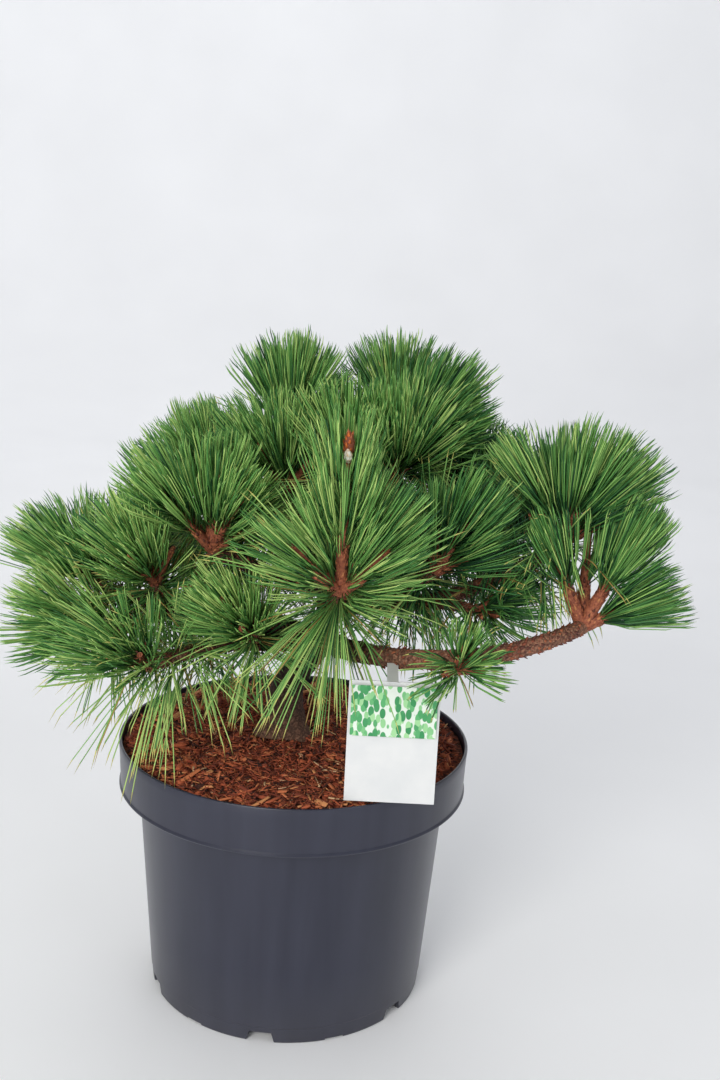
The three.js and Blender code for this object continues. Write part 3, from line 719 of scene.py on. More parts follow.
def scatter(model, count, length, width, thick, steep, tones, within=1.0, beyond=0.0):
    """Shreds that lie on the mix: sizes in metres as (least, most), "steep" in degrees."""
    outward = np.sqrt(rng.uniform(beyond ** 2, within ** 2, count)) * (MIX_RADIUS - EDGE_ROOM)
    around = rng.uniform(0, 2 * math.pi, count)
    x = outward * np.cos(around)
    y = outward * np.sin(around)
    bare = np.hypot(x - TRUNK_FOOT[0], y - TRUNK_FOOT[1]) > TRUNK_ROOM
    x, y = x[bare], y[bare]
    count = len(x)
    heading = rng.uniform(0, 2 * math.pi, count)
    tilt = np.radians(rng.normal(0, steep, count))
    way = np.stack([np.cos(heading) * np.cos(tilt), np.sin(heading) * np.cos(tilt), np.sin(tilt)], 1)
    side, over = crossways(way)
    roll = rng.uniform(-ROLL, ROLL, (count, 1))
    side, over = side * np.cos(roll) + over * np.sin(roll), over * np.cos(roll) - side * np.sin(roll)
    long = rng.uniform(*length, (count, 1))
    root = np.stack([x, y, mix_height(x, y) + rng.uniform(*LIE, count) * MM], 1) - way * long / 2
    farthest = np.maximum(*(np.hypot(end[:, 0], end[:, 1]) for end in (root, root + way * long)))
    kept = farthest < MIX_RADIUS - WALL_ROOM
    bend = over * rng.normal(0, SHRED_BEND, (count, 1)) * long
    copies = copy_all(model, root, way * long, bend, side * rng.uniform(*width, (count, 1)),
                      over * rng.uniform(*thick, (count, 1)))[kept]
    tone = rng.choice(len(BARK_TONES), (kept.sum(), 1), p=tones)
    return model, copies, tone


fibres = scatter(SPLINTER, 6600, (3 * MM, 14 * MM), (0.7 * MM, 2.1 * MM), (0.4 * MM, 1.0 * MM), 18,
                 TONE_SHARES)
chips = scatter(FLAKE, 800, (4 * MM, 12 * MM), (1.6 * MM, 4.0 * MM), (0.6 * MM, 1.3 * MM), 16, TONE_SHARES)
large_chips = scatter(FLAKE, 110, (10 * MM, 22 * MM), (2.4 * MM, 4.6 * MM), (0.8 * MM, 1.6 * MM), 7,
                      LARGE_SHARES, 0.97, 0.7)
shreds = many("bark_shreds", [fibres, chips, large_chips], shred_finishes)
finish_piece(shreds, "potting_mix", "soil")

# %% [markdown]
# ## Trunk and boughs
#
# The limbs follow the same lines as the frame's solids. The trunk is a smooth curve through five
# places. A bough sets off from the trunk, or from another bough, and bends once on its way to where
# its needles grow. The rule is short enough to write again here, so that every twig fits its limb.

# %% Where the limbs run
TRUNK = [[-10, 12, 205.3, 15.5], [-7, 14, 248, 12.5], [18, 4, 292, 11], [27, 14, 345, 8], [35, 11, 404, 5]]
FLARE_HEIGHT = 14 * MM
FLARE_SWELL = 0.5
FLARE_LOBES = 3
LOBE_SWELL = 0.16

# On which bough and where it starts, heading, reach and rise, bow, and radius at both ends.
BOUGHS = {
    "right_low": (None, 288, (-16, 206, 40), (-50, 10, 1.12), (8, 5)),
    "right_high": (None, 318, (-13, 180, 70), (0, -3, 0.5), (6.5, 4.2)),
    "right_mid": (None, 324, (-37, 98, 40), (6, 6, 0.5), (5.5, 4)),
    "right_back": (None, 335, (20, 140, 27), (12, 8, 0.5), (5.8, 4)),
    "right_under": ("right_high", 0.42, (-28, 48, 2), (0, 6, 0.5), (3.8, 3.4)),
    "right_tuft": ("right_low", 0.5, (-70, 16, -2), (0, -4, 0.5), (3.8, 3.4)),
    "left_low": (None, 281, (-144, 148, 9), (0, 20, 0.5), (6.5, 4.2)),
    "left_mid": (None, 295, (182, 178, 32), (22, 8, 0.5), (7, 4.2)),
    "left_up": ("left_mid", 0.68, (-108, 30, 28), (0, 32, 0.5), (3.8, 3.4)),
    "left_far_low": ("left_mid", 0.62, (-166, 62, -14), (0, -6, 0.5), (4.2, 3.6)),
    "left_inner": (None, 338, (166, 98, 52), (0, 16, 0.5), (5, 4)),
    "left_high": (None, 328, (-151, 104, 42), (0, 16, 0.5), (6.2, 4.2)),
    "front_left": ("left_low", 0.3, (-98, 60, 24), (0, 10, 0.5), (4.4, 3.6)),
    "front": (None, 304, (-84, 112, 58), (0, 16, 0.5), (6.4, 4.4)),
    "top_left": (None, 352, (134, 62, 94), (0, 44, 0.5), (5.4, 3.8)),
    "top_left_front": (None, 340, (172, 42, 64), (0, 44, 0.5), (4.8, 3.8)),
    "top_back": (None, 362, (60, 84, 86), (0, 30, 0.5), (5.2, 3.8)),
    "top_right": (None, 374, (36, 58, 62), (0, 36, 0.5), (4.8, 3.8)),
    "top_right_front": (None, 384, (2, 37, 34), (0, 30, 0.5), (4.4, 3.6)),
    "back_left_low": (None, 290, (143, 150, 30), (8, 6, 0.5), (6.6, 4.2)),
    "back_left_high": (None, 344, (148, 118, 36), (0, 14, 0.5), (5.4, 4)),
    "back_low": (None, 300, (92, 140, 30), (-8, 6, 0.5), (6.4, 4.2)),
    "back_high": (None, 356, (96, 112, 32), (0, 14, 0.5), (5, 4)),
    "back_right_low": (None, 308, (47, 146, 26), (8, 6, 0.5), (6.2, 4.2)),
    "back_right_high": (None, 348, (44, 128, 34), (-6, 14, 0.5), (5.2, 4)),
}


def aim(heading, lift):
    """The direction with a compass heading and a lift above the level, both in degrees."""
    turn = math.radians(heading)
    flat = math.cos(math.radians(lift))
    return np.array([flat * math.cos(turn), flat * math.sin(turn), math.sin(math.radians(lift))])


trunk_places = np.array([row[:3] for row in TRUNK]) * MM
below = 2 * trunk_places[0] - trunk_places[1]
above = 2 * trunk_places[-1] - trunk_places[-2]
ghosts = np.vstack([below, trunk_places, above])


def trunk_point(share):
    """A centripetal curve through the trunk's places, as the frame's trunk has."""
    step = share * (len(TRUNK) - 1)
    i = min(int(step), len(TRUNK) - 2)
    t = step - i
    p0, p1, p2, p3 = ghosts[i:i + 4]
    d0, d1, d2 = (math.sqrt(np.linalg.norm(b - a)) for a, b in ((p0, p1), (p1, p2), (p2, p3)))
    leave = ((p1 - p0) / d0 - (p2 - p0) / (d0 + d1) + (p2 - p1) / d1) * d1
    arrive = ((p2 - p1) / d1 - (p3 - p1) / (d1 + d2) + (p3 - p2) / d2) * d1
    return (p1 + leave * t + (-3 * p1 + 3 * p2 - 2 * leave - arrive) * t ** 2
            + (2 * p1 - 2 * p2 + leave + arrive) * t ** 3)


def trunk_radius(share):
    return np.interp(share * (len(TRUNK) - 1), range(len(TRUNK)), [row[3] for row in TRUNK]) * MM


def trunk_share(height):
    shares = np.linspace(0, 1, 101)
    return np.interp(height, [trunk_point(share)[2] for share in shares], shares)


def bough_points(controls, shares):
    """A curve with one bend, from its start past its control point to its end."""
    a, b, c = controls
    s = np.asarray(shares)[:, None]
    return a * (1 - s) ** 2 + 2 * b * s * (1 - s) + c * s ** 2


def bough_length(controls, count=50):
    points = bough_points(controls, np.linspace(0, 1, count))
    return np.linalg.norm(np.diff(points, axis=0), axis=1).sum()


lines = {}
for name, (on, at, (heading, reach, rise), (sweep, lift, pull), radii) in BOUGHS.items():
    begin = bough_points(lines[on][0], [at])[0] if on else trunk_point(trunk_share(at * MM))
    control = begin + aim(heading + sweep, lift) * reach * pull * MM
    end = begin + aim(heading, 0) * reach * MM + UP * rise * MM
    lines[name] = ((begin, control, end), radii)
print("boughs:", len(lines), "tip of the trunk:", np.round(trunk_point(1) / MM))

# %% [markdown]
# A limb starts as a curve with a round section, whose radius is set point by point and which is then
# turned to a mesh. All limbs are joined, and two Displace modifiers raise the bark: broad lumps
# first, then cracked plates of a few millimetres. The trunk's foot swells into three low lobes.

# %% Tube along a line
def tube(name, points, radii, smoothness=9):
    start()
    bpy.ops.curve.primitive_bezier_curve_add()
    piece = named(name)
    curve = piece.data
    curve.splines.clear()
    spline = curve.splines.new("POLY")
    spline.points.add(len(points) - 1)
    spline.points.foreach_set("co", np.hstack([points, np.ones((len(points), 1))]).ravel())
    spline.points.foreach_set("radius", np.asarray(radii) / MM)
    curve.dimensions = "3D"
    curve.bevel_depth = MM
    curve.bevel_resolution = smoothness
    curve.use_fill_caps = True
    bpy.ops.object.convert(target="MESH")
    return bpy.context.object


print("lines to follow:", 1 + len(lines))

# %% Trunk with its flare
TRUNK_RINGS = 140
limbs = []
limb_points = []
limb_radii = []


def keep_limb(limb, points, radii):
    """Keeps a limb for its finish, and every fourth point of its line for the needles to miss."""
    limbs.append(limb)
    limb_points.append(points[::4])
    limb_radii.append(radii[::4])


shares = np.linspace(0, 1, TRUNK_RINGS)
points = np.array([trunk_point(share) for share in shares])
fade = np.exp(-(points[:, 2] - points[0, 2]) / FLARE_HEIGHT)
radii = trunk_radius(shares) * (1 + fade * FLARE_SWELL)
trunk = tube("trunk_tube", points, radii, 14)
places = vertices_of(trunk)
centres = points[np.abs(places[:, None, 2] - points[None, :, 2]).argmin(1)]
outward = (places - centres) * [1, 1, 0]
turn = np.arctan2(outward[:, 0], outward[:, 1])
swell = LOBE_SWELL * np.exp(-(places[:, 2] - points[0, 2]) / FLARE_HEIGHT) * np.cos(FLARE_LOBES * turn)
put_vertices(trunk, places + outward * swell[:, None])
keep_limb(trunk, points, radii)
print("trunk triangles:", triangles(trunk))

# %% Boughs with their collars
RING_STEP = 1.5 * MM
FEWEST_RINGS = 8
COLLAR = 8 * MM
COLLAR_SWELL = 0.25
TIP_SWELL = 0.12
TIP_FADE = 14

for name, (controls, (first, last)) in lines.items():
    shares = np.linspace(0, 1, max(FEWEST_RINGS, round(bough_length(controls) / RING_STEP)))
    points = bough_points(controls, shares)
    from_start = np.linalg.norm(points - points[0], axis=1)
    swell = COLLAR_SWELL * np.exp(-from_start / COLLAR) + TIP_SWELL * np.exp(-(1 - shares) * TIP_FADE)
    radii = (first + (last - first) * shares) * MM * (1 + swell)
    keep_limb(tube(f"bough_{name}_tube", points, radii), points, radii)
print("limbs:", len(limbs))

# %% Bark relief
bark = join(limbs, "bark")
lumps = bpy.data.textures.new("bark lumps", "CLOUDS")
lumps.noise_scale = 14 * MM
plates = bpy.data.textures.new("bark plates", "VORONOI")
plates.noise_scale = 3 * MM
plates.noise_intensity = 1.3
modify(bark, "DISPLACE", texture=lumps, strength=1.2 * MM, mid_level=0.5)
modify(bark, "DISPLACE", texture=plates, strength=0.8 * MM, mid_level=0.4)
smooth(bark, 50)
print("bark triangles:", triangles(bark))

# %% [markdown]
# Young pine bark is dull and flaky. Its plates, near 5 mm wide, are grey brown on the trunk and the
# inner limbs and redder on the young wood further out, with a little darker cracks between them. The
# distance from the middle of the crown mixes the two browns, and a noise at 1.4 mm breaks up each
# plate.

# %% Flaky bark
PLATE = 4.762 * MM
SPECK = 1.429 * MM
SPECK_DEPTH = 0.8 * MM
CROWN_MIDDLE = 300 * MM
OLD_WITHIN = 50 * MM
YOUNG_BEYOND = 150 * MM

flaky, tree, shader = new_material("flaky pine bark", Roughness=0.88)
place = add_node(tree, "ShaderNodeTexCoord").outputs["Object"]
crack = add_node(tree, "ShaderNodeTexVoronoi", {"Scale": 1 / PLATE}, {"Vector": place},
                 feature="DISTANCE_TO_EDGE")
speck = add_node(tree, "ShaderNodeTexNoise", {"Scale": 1 / SPECK, "Detail": 5.0}, {"Vector": place})
centred = add_node(tree, "ShaderNodeMapping", {"Location": (0, 0, -CROWN_MIDDLE)}, {"Vector": place})
far = add_node(tree, "ShaderNodeVectorMath", None, {0: centred}, operation="LENGTH").outputs["Value"]
young = add_node(tree, "ShaderNodeMapRange", {"From Min": OLD_WITHIN, "From Max": YOUNG_BEYOND},
                 {"Value": far})
old_wood = add_node(tree, "ShaderNodeValToRGB", None, {"Fac": speck},
                    [(0.3, "#261c17"), (0.55, "#45362b"), (0.75, "#655445")])
new_wood = add_node(tree, "ShaderNodeValToRGB", None, {"Fac": speck},
                    [(0.3, "#6e4738"), (0.55, "#98684f"), (0.75, "#bd9075")])
wood = add_node(tree, "ShaderNodeMix", None, {SHARE: young, FIRST: old_wood, SECOND: new_wood},
                data_type="RGBA")
depth = add_node(tree, "ShaderNodeValToRGB", None, {"Fac": crack}, [(0.0, "#b0b0b0"), (0.2, "#ffffff")])
split = add_node(tree, "ShaderNodeMix", {SHARE: 1.0}, {FIRST: wood.outputs[MIXED], SECOND: depth},
                 data_type="RGBA", blend_type="MULTIPLY")
bumps = add_node(tree, "ShaderNodeBump", {"Strength": 0.7, "Distance": SPECK_DEPTH}, {"Height": speck})
add_links(tree, shader, {"Base Color": split.outputs[MIXED], "Normal": bumps})
dress(bark, flaky)
finish_piece(bark, "bark", "trunk", *(f"bough_{name}" for name in BOUGHS))

# %% [markdown]
# ## Masses of needles
#
# Each mass has a stem at the end of its bough. A leading shoot and two or three side shoots fork
# from it, and last year's needles stand around the stem itself. The table says how they point, in
# degrees and millimetres, and gives the same masses as the frame has. The scene adds a finer twig at
# the foot of each shoot, except on the low right mass, whose shoots show bare.

# %% Where the shoots point
# stem length, needle scale, lead (heading, lift, length), side (count, heading, step, lift, length),
# skirt (scale, droop)
USUAL_SKIRT = (0.9, 0.34)
MASSES = {
    "front": (32, 0.98, (-86, 80, 112), (3, 84, 118, 44, 52), (1.2, 0.2)),
    "front_left": (16, 0.72, (-138, 50, 44), (2, -140, 80, 26, 36), (1.15, 0.3)),
    "left_high": (18, 1, (-54, 80, 60), (3, 226, 76, 46, 70), (1, 0.3)),
    "left_up": (14, 0.92, (-104, 68, 54), (2, 206, 84, 36, 44), USUAL_SKIRT),
    "left_low": (34, 1, (-146, 20, 34), (2, -128, 74, 34, 34), (1.1, 0.5)),
    "left_far_low": (14, 0.95, (196, 34, 42), (2, 192, 62, 6, 42), USUAL_SKIRT),
    "left_mid": (34, 0.92, (178, 32, 52), (2, 134, 84, 50, 46), USUAL_SKIRT),
    "right_mid": (30, 0.95, (-39, 60, 60), (2, 60, 96, 46, 48), (1.05, 0.2)),
    "right_high": (22, 0.98, (-20, 76, 60), (3, 86, 88, 50, 62), USUAL_SKIRT),
    "right_low": (16, 0.98, (-10, 30, 42), (3, 84, 104, 66, 76), (0, 0)),
    "right_tuft": (8, 0.48, (-72, 68, 26), (2, -72, 92, 8, 20), USUAL_SKIRT),
    "right_under": (12, 0.76, (-8, 36, 28), (2, -24, 76, 8, 24), USUAL_SKIRT),
    "left_inner": (16, 0.92, (170, 70, 52), (2, 160, 110, 46, 48), USUAL_SKIRT),
    "top_centre": (12, 0.92, (-100, 82, 52), (2, -112, 100, 58, 50), USUAL_SKIRT),
    "top_left_front": (12, 0.92, (-66, 78, 52), (2, 204, 66, 50, 54), USUAL_SKIRT),
    "top_left": (14, 0.84, (-90, 84, 54), (2, 106, 108, 66, 48), USUAL_SKIRT),
    "top_right_front": (10, 0.92, (-100, 80, 52), (2, -52, 84, 56, 54), USUAL_SKIRT),
    "top_right": (12, 0.92, (-12, 56, 66), (2, 6, 76, 34, 56), USUAL_SKIRT),
    "top_back": (14, 0.84, (96, 82, 50), (2, 84, 110, 60, 50), USUAL_SKIRT),
    "right_back": (18, 0.95, (70, 76, 64), (2, 54, 88, 52, 56), USUAL_SKIRT),
    "back_right_high": (18, 0.95, (50, 70, 52), (2, 52, 110, 38, 48), USUAL_SKIRT),
    "back_high": (18, 0.95, (88, 70, 52), (2, 94, 104, 38, 48), USUAL_SKIRT),
    "back_left_high": (18, 0.95, (140, 66, 52), (2, 146, 106, 36, 48), USUAL_SKIRT),
    "back_right_low": (20, 0.95, (44, 42, 48), (2, 42, 100, 24, 44), USUAL_SKIRT),
    "back_low": (20, 0.95, (92, 40, 48), (2, 92, 100, 24, 44), USUAL_SKIRT),
    "back_left_low": (20, 0.95, (144, 42, 48), (2, 146, 100, 24, 44), USUAL_SKIRT),
}


def stem_of(name):
    """Start and end of the stem inside a mass, and its radius at the start."""
    stem = MASSES[name][0] * MM
    if name == "top_centre":
        tip = trunk_point(1)
        return tip, tip + UP * stem, trunk_radius(1)
    controls, (first, last) = lines[name]
    share = 1 - stem / bough_length(controls, 201)
    return bough_points(controls, [share])[0], controls[2], (first + (last - first) * share) * MM


def shoots_of(name):
    """Direction and length of each shoot, the leading one first."""
    _, _, (heading, lift, length), (count, middle, step, side_lift, side_length), _ = MASSES[name]
    shoots = [(aim(heading, lift), length * MM)]
    for i in range(count):
        shoots.append((aim(middle + (i - (count - 1) / 2) * step, side_lift), side_length * MM))
    return shoots


HEART_SHARE = 0.9
stem_ends = {name: stem_of(name)[1] for name in MASSES}
hearts = {}
for name in MASSES:
    shoots = shoots_of(name)
    pull = sum(way * length for way, length in shoots) * HEART_SHARE / len(shoots)
    hearts[name] = stem_ends[name] + pull
all_hearts = np.array(list(hearts.values()))
all_limb_points = np.concatenate(limb_points)
all_limb_radii = np.concatenate(limb_radii)
print("masses:", len(MASSES), "shoots:", sum(len(shoots_of(name)) for name in MASSES))

# %% [markdown]
# ## A needle, a scale and a bud
#
# A pine needle is stiff and half round, because two of them share one sheath. It is made from a
# three-sided cone, cut across twice and swelled a little in the middle. A scale is a flat cone with
# its tip curled out, and a bud is an eight-sided cone, swelled in the middle and drawn out to a
# point. Each has few faces, because thousands of them follow.


# %% Model the needle, the scale and the bud
def cone_model(name, sides, cuts, shape):
    """A cone along Z from 0 to 1, cut across at some heights and shaped ring by ring."""
    start()
    bpy.ops.mesh.primitive_cone_add(vertices=sides, radius1=1, radius2=0, depth=1, location=(0, 0, 0.5))
    cone = named(name)
    bpy.ops.object.transform_apply(location=True)
    edit("VERT")
    for cut in cuts:
        bpy.ops.mesh.select_all(action="SELECT")
        bpy.ops.mesh.bisect(plane_co=(0, 0, cut), plane_no=(0, 0, 1))
    bpy.ops.object.mode_set(mode="OBJECT")
    places = vertices_of(cone)
    heights = places[:, 2:3]
    round_part = places[:, :2] / np.maximum(1 - heights, 1e-6)
    width, depth, curl = shape(heights)
    places = np.hstack([round_part[:, :1] * width, round_part[:, 1:] * depth + curl, heights])
    put_vertices(cone, places)
    return as_model(cone)


def needle_shape(z):
    thick = np.interp(z, [0, 0.1, 0.5, 0.9, 1], [0.75, 0.95, 1, 0.9, 0.0])
    return thick, thick * 0.85, 0


def scale_shape(z):
    wide = np.interp(z, [0, 0.4, 1], [0.8, 1, 0])
    return wide, wide * 0.35, 0.55 * z ** 2


def bud_shape(z):
    wide = np.interp(z, [0, 0.2, 0.45, 0.75, 0.999, 1], [0.6, 0.95, 1, 0.7, 0.15, 0])
    return wide, wide, 0


NEEDLE = cone_model("needle", 3, (0.4, 0.9), needle_shape)
SCALE = cone_model("scale", 4, (0.45,), scale_shape)
BUD = cone_model("bud", 8, (0.15, 0.35, 0.6, 0.8), bud_shape)
FACE_TOPS = np.array([max(NEEDLE[0][list(face), 2]) for face in NEEDLE[1]])
TIP_FACES = FACE_TOPS > 0.95
FOOT_FACES = FACE_TOPS < 0.5
print("faces of needle, scale and bud:", len(NEEDLE[1]), len(SCALE[1]), len(BUD[1]))

# %% [markdown]
# ## Growing needles
#
# Needles stand in pairs round a shoot, each pair a golden turn on from the last, as a real shoot
# packs them. They open wide at the shoot's foot and close up, shorter, towards the bud, and they
# leave the bark at a wider angle than they end with, so each has a slight curve. A needle that would
# run into the pot, the label or a limb grows shorter, and so does one that would hide the big bud or
# a bare shoot that shows from the front. It is left out where that doesn't help, and where its tip
# would leave its mass's own room.

# %% What a needle has to miss
POT_ROOM = 4 * MM
LABEL_ROOM = 3 * MM
LIMB_ROOM = 0.8 * MM
CHECKED = (0.3, 0.45, 0.6, 0.75, 0.88, 1.0)
# The way from the plant to the eye, and how far aside of it a needle stays where a shoot shows.
PARTING = np.array([0, -0.985, 0.17])
PARTING_ROOM = 5.5 * MM
label_low, label_high = (np.array(corner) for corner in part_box("label"))
big_way, big_length = shoots_of("front")[0]
big_bud = stem_ends["front"] + big_way * (big_length - 2 * MM)


def bare_foot(name, number, shares):
    """Places along the bare foot of a shoot, in front of which no needle should pass."""
    way, length = shoots_of(name)[number]
    return [stem_ends[name] + way * length * share for share in shares]


IN_SIGHT = [big_bud, *bare_foot("front", 0, (0.07, 0.14, 0.21)),
            *bare_foot("right_low", 1, (0.12, 0.2, 0.28, 0.36)),
            *bare_foot("right_low", 2, (0.12, 0.2)), *bare_foot("right_low", 3, (0.14, 0.22, 0.3))]


def own_room(name, tips, slack):
    """True for the tips that no other mass's heart is much nearer to than their own."""
    to_own = np.minimum(*(np.linalg.norm(tips - own[name], axis=1) for own in (hearts, stem_ends)))
    others = [i for i, other in enumerate(MASSES) if other != name]
    to_others = np.linalg.norm(tips[:, None] - all_hearts[None, others], axis=2).min(1)
    return to_others > to_own - slack


def runs_free(root, way, bend):
    """True for the needles that miss the pot, the mix, the label and the limbs."""
    free = np.ones(len(root), bool)
    for z in CHECKED:
        at = root + way * z + bend * z * z
        over_pot = np.hypot(at[:, 0], at[:, 1]) < RIM_RADIUS + POT_ROOM
        free &= ~(over_pot & (at[:, 2] < POT_HEIGHT + POT_ROOM))
        for seen in IN_SIGHT:
            before = (at - seen) @ PARTING
            aside = np.linalg.norm(at - seen - before[:, None] * PARTING, axis=1)
            free &= (before < 0) | (aside > PARTING_ROOM)
        in_label = (at > label_low - LABEL_ROOM).all(1) & (at < label_high + LABEL_ROOM).all(1)
        free &= ~in_label
        gap = np.linalg.norm(at[:, None] - all_limb_points[None], axis=2) - all_limb_radii
        free &= gap.min(1) > LIMB_ROOM
    return free


print("places kept in sight:", len(IN_SIGHT))

# %% The rule for needles
NEEDLE_LENGTH = 86 * MM
NEEDLE_RADIUS = 0.64 * MM
THICKNESS = (0.85, 1.05)
# A needle is up to 30% shorter or 5% longer than its place asks for, and shortened twice at most.
LENGTHS = (-0.3, 0.05)
SHORTER = (0.8, 0.75)
TURN_JITTER = 0.15
SPLIT = 0.035


def full_reach(name):
    return NEEDLE_LENGTH * MASSES[name][1]


def grow(name, foot, way, length, open_at, reach_at, core, slack, droop, jitter, curl, bare, per_mm):
    """Root, way, bend, side and over of the needles on one shoot or stem."""
    pairs = round(length / MM * per_mm * (1 - bare))
    share = np.repeat(bare + (1 - bare) * (np.arange(pairs) + rng.random(pairs)) / pairs, 2)
    turn = np.repeat(np.arange(pairs) * GOLDEN_TURN + rng.normal(0, TURN_JITTER, pairs), 2)[:, None]
    out = spoke(way, turn)
    root = foot + way * (share * length)[:, None] + out * core
    # The angle a needle ends with, and the wider one it sets off at.
    final = np.radians(open_at(share) + np.repeat(rng.normal(0, jitter, pairs), 2))[:, None]
    first = final + math.radians(curl)
    straight = out * np.sin(final) + way * np.cos(final)
    straight[:, 2] -= droop * np.repeat(rng.uniform(0, 2, pairs), 2)
    apart = np.cross(straight, rng.normal(0, 1, (pairs, 3)).repeat(2, axis=0))
    apart = unit(apart) * np.tile([SPLIT, -SPLIT], pairs)[:, None]
    straight = unit(unit(straight) + apart)
    setting_off = unit(out * np.sin(first) + way * np.cos(first) + apart)
    long = (reach_at(share) * (1 + np.repeat(rng.uniform(*LENGTHS, pairs), 2)))[:, None]
    kept = (long[:, 0] > 0) & own_room(name, root + straight * long, slack)
    grown = (root, straight, setting_off, long, apart)
    root, straight, setting_off, long, apart = (part[kept] for part in grown)
    bend = (straight - setting_off) * long
    set_off = setting_off * long
    thick = NEEDLE_RADIUS * rng.uniform(*THICKNESS, (len(root), 1))
    flat = unit(apart)
    across = unit(np.cross(straight, flat))
    for shorter in SHORTER:
        blocked = ~runs_free(root, set_off, bend)
        set_off[blocked] *= shorter
        bend[blocked] *= shorter
    free = runs_free(root, set_off, bend)
    return [part[free] for part in (root, set_off, bend, across * thick, flat * thick)]


print("longest needle:", NEEDLE_LENGTH / MM, "mm, radius:", NEEDLE_RADIUS / MM, "mm")

# %% [markdown]
# ## Greens
#
# The needles are not one green. Light and shade are painted into the greens: sprays in front and
# high up are painted brighter, and those at the back and on the right are painted darker and bluer,
# as shade. The foot of each needle is painted darker, as shade inside the spray. Last year's needles
# are yellow green with yellow tips. Each spray gets its main green by where it stands, which paints
# that light and shade, and shares a few neighbours in the row of greens, so that colours mix as they
# do on the plant. The colours are plain, with a faint waxy sheen: middling roughness and a low
# specular level.

# %% Waxy needles and papery scales
GREENS = ["#b3cf78", "#97c069", "#7dac5b", "#63974c", "#4b8143", "#386a3a", "#295431", "#1b3e28"]
YELLOW_TIP = "#c2bd6c"
DRY = "#ab9152"
BROWNS = ["#5e3226", "#834530", "#a25c3c", "#bf7c50", "#cf6a2e"]
greens = plain_finishes("waxy needle", [*GREENS, YELLOW_TIP, DRY], Roughness=0.45, Specular_IOR_Level=0.25)
browns = plain_finishes("papery scale", BROWNS, Roughness=0.75)
print("greens:", len(greens), "browns:", len(browns))

# %% The green of a spray
MIDDLE_TONE = 2.2
SPRAY_JITTER = 0.5
NEEDLE_JITTER = 1.6
# The foot half of each needle is painted darker, as shade deep inside its spray.
FOOT_PAINTED_SHADE = 1.5
YELLOW_TONE = len(GREENS)
DRY_TONE = len(GREENS) + 1


def spray_tone(place, lift=0.0):
    """The main green of a spray, from 0, yellow green, to 7, dark blue green, with painted shade on the
    right and at the back and painted light higher up.
    """
    x, y, z = place
    # Painted light and shade: a spray is darker on the right and towards the back, and lighter higher up.
    shade = min(max((x - 0.05) / 0.07, 0), 1)
    tone = MIDDLE_TONE + 1.5 * shade + 4 * y - 1.5 * (z - 0.36) + lift + rng.normal(0, SPRAY_JITTER)
    return float(np.clip(tone, 0, len(GREENS) - 1))


def deal(tone, count):
    """A green for each face of each needle: near the spray's own, and darker at the needle's foot, a painted
    shade deep in the spray.
    """
    own = tone + rng.normal(0, NEEDLE_JITTER, (count, 1))
    return np.clip(np.round(own + FOOT_PAINTED_SHADE * FOOT_FACES), 0, len(GREENS) - 1)


def dry_some(tone, share):
    """Turns a share of the needles to straw."""
    tone[rng.random(len(tone)) < share] = DRY_TONE
    return tone


print("tones of yellow tips and dry needles:", YELLOW_TONE, DRY_TONE)

# %% How the masses differ
# Bare share at the foot of the leading shoot and of the others.
USUAL_BARE = (0.22, 0.14)
BARE = {"front": (0.26, 0.08), "right_low": (0.3, 0.41), "left_high": (0.3, 0.3), "right_high": (0.34, 0.26)}
PLAIN_SHOOTS = ("right_low",)
BARE_BOUGHS = ("right_low", "right_tuft", "right_under")
# How many times as many needles as usual, and how much darker they are.
DENSE = {"right_low": 2.4, "right_high": 1.2, "front": 0.9, "left_low": 0.8}
SKIRT_DENSE = {"front": 1.7, "left_low": 0.55, "front_left": 0.8}
DARKER = {"left_low": 0.9, "front": 0.3}
# How far needles open at the foot and at the tip, and how far the old ones lean forward, in degrees.
USUAL_OPEN = (34, 8)
OPEN = {"front": (37, 12)}
SKIRT_LEAN = {"left_low": 26, "front_left": 10}
BUD_ROOM = {"front": 16 * MM}
USUAL_BUD_ROOM = 7 * MM
print("boughs without old needles:", len(BARE_BOUGHS))

# %% Twigs at the feet of the shoots
FIRST_TURN = 0.6
TWIG_LEAN = math.radians(38)
TWIG_SHARE = 0.6
TWIG_RISE = 0.3


def with_twigs(name):
    """Each shoot of a mass with the finer twig at its foot: direction, length and bare share."""
    turn = FIRST_TURN
    bare, side_bare = BARE.get(name, USUAL_BARE)
    for way, length in shoots_of(name):
        yield way, length, bare
        bare = side_bare
        if name in PLAIN_SHOOTS:
            continue
        turn += GOLDEN_TURN
        out = spoke(way, turn)
        twig = unit(way * math.cos(TWIG_LEAN) + out * math.sin(TWIG_LEAN) + UP * TWIG_RISE)
        yield twig, length * TWIG_SHARE, side_bare


print("shoots and twigs:", sum(1 for name in MASSES for _ in with_twigs(name)))

# %% Last year's needles
OLD_OPEN = (98, 74)
OLD_SLACK = 48 * MM
OLD_JITTER = 14
SKIRT_PER_MM = 2.4
SKIRT_LENGTH = 1.05
SKIRT_LIFT = -0.8
SKIRT_DRY = 0.04
needle_batches = {}


def grow_old(name, begin, end, reach, core, droop, per_mm, lean=0):
    """Needles that stand out widely around a stem or a bough."""
    foot_open, tip_open = OLD_OPEN
    return grow(name, begin, unit(end - begin), np.linalg.norm(end - begin),
                lambda share: foot_open + (tip_open - foot_open) * share - lean,
                lambda share: full_reach(name) * reach,
                core, OLD_SLACK, droop, OLD_JITTER, 0, 0, per_mm)


def keep_needles(name, needles, tone):
    """Needles are kept by the first word of their mass, because each word makes one piece."""
    batches = needle_batches.setdefault(name.split("_")[0], [])
    batches.append((NEEDLE, copy_all(NEEDLE, *needles), tone))


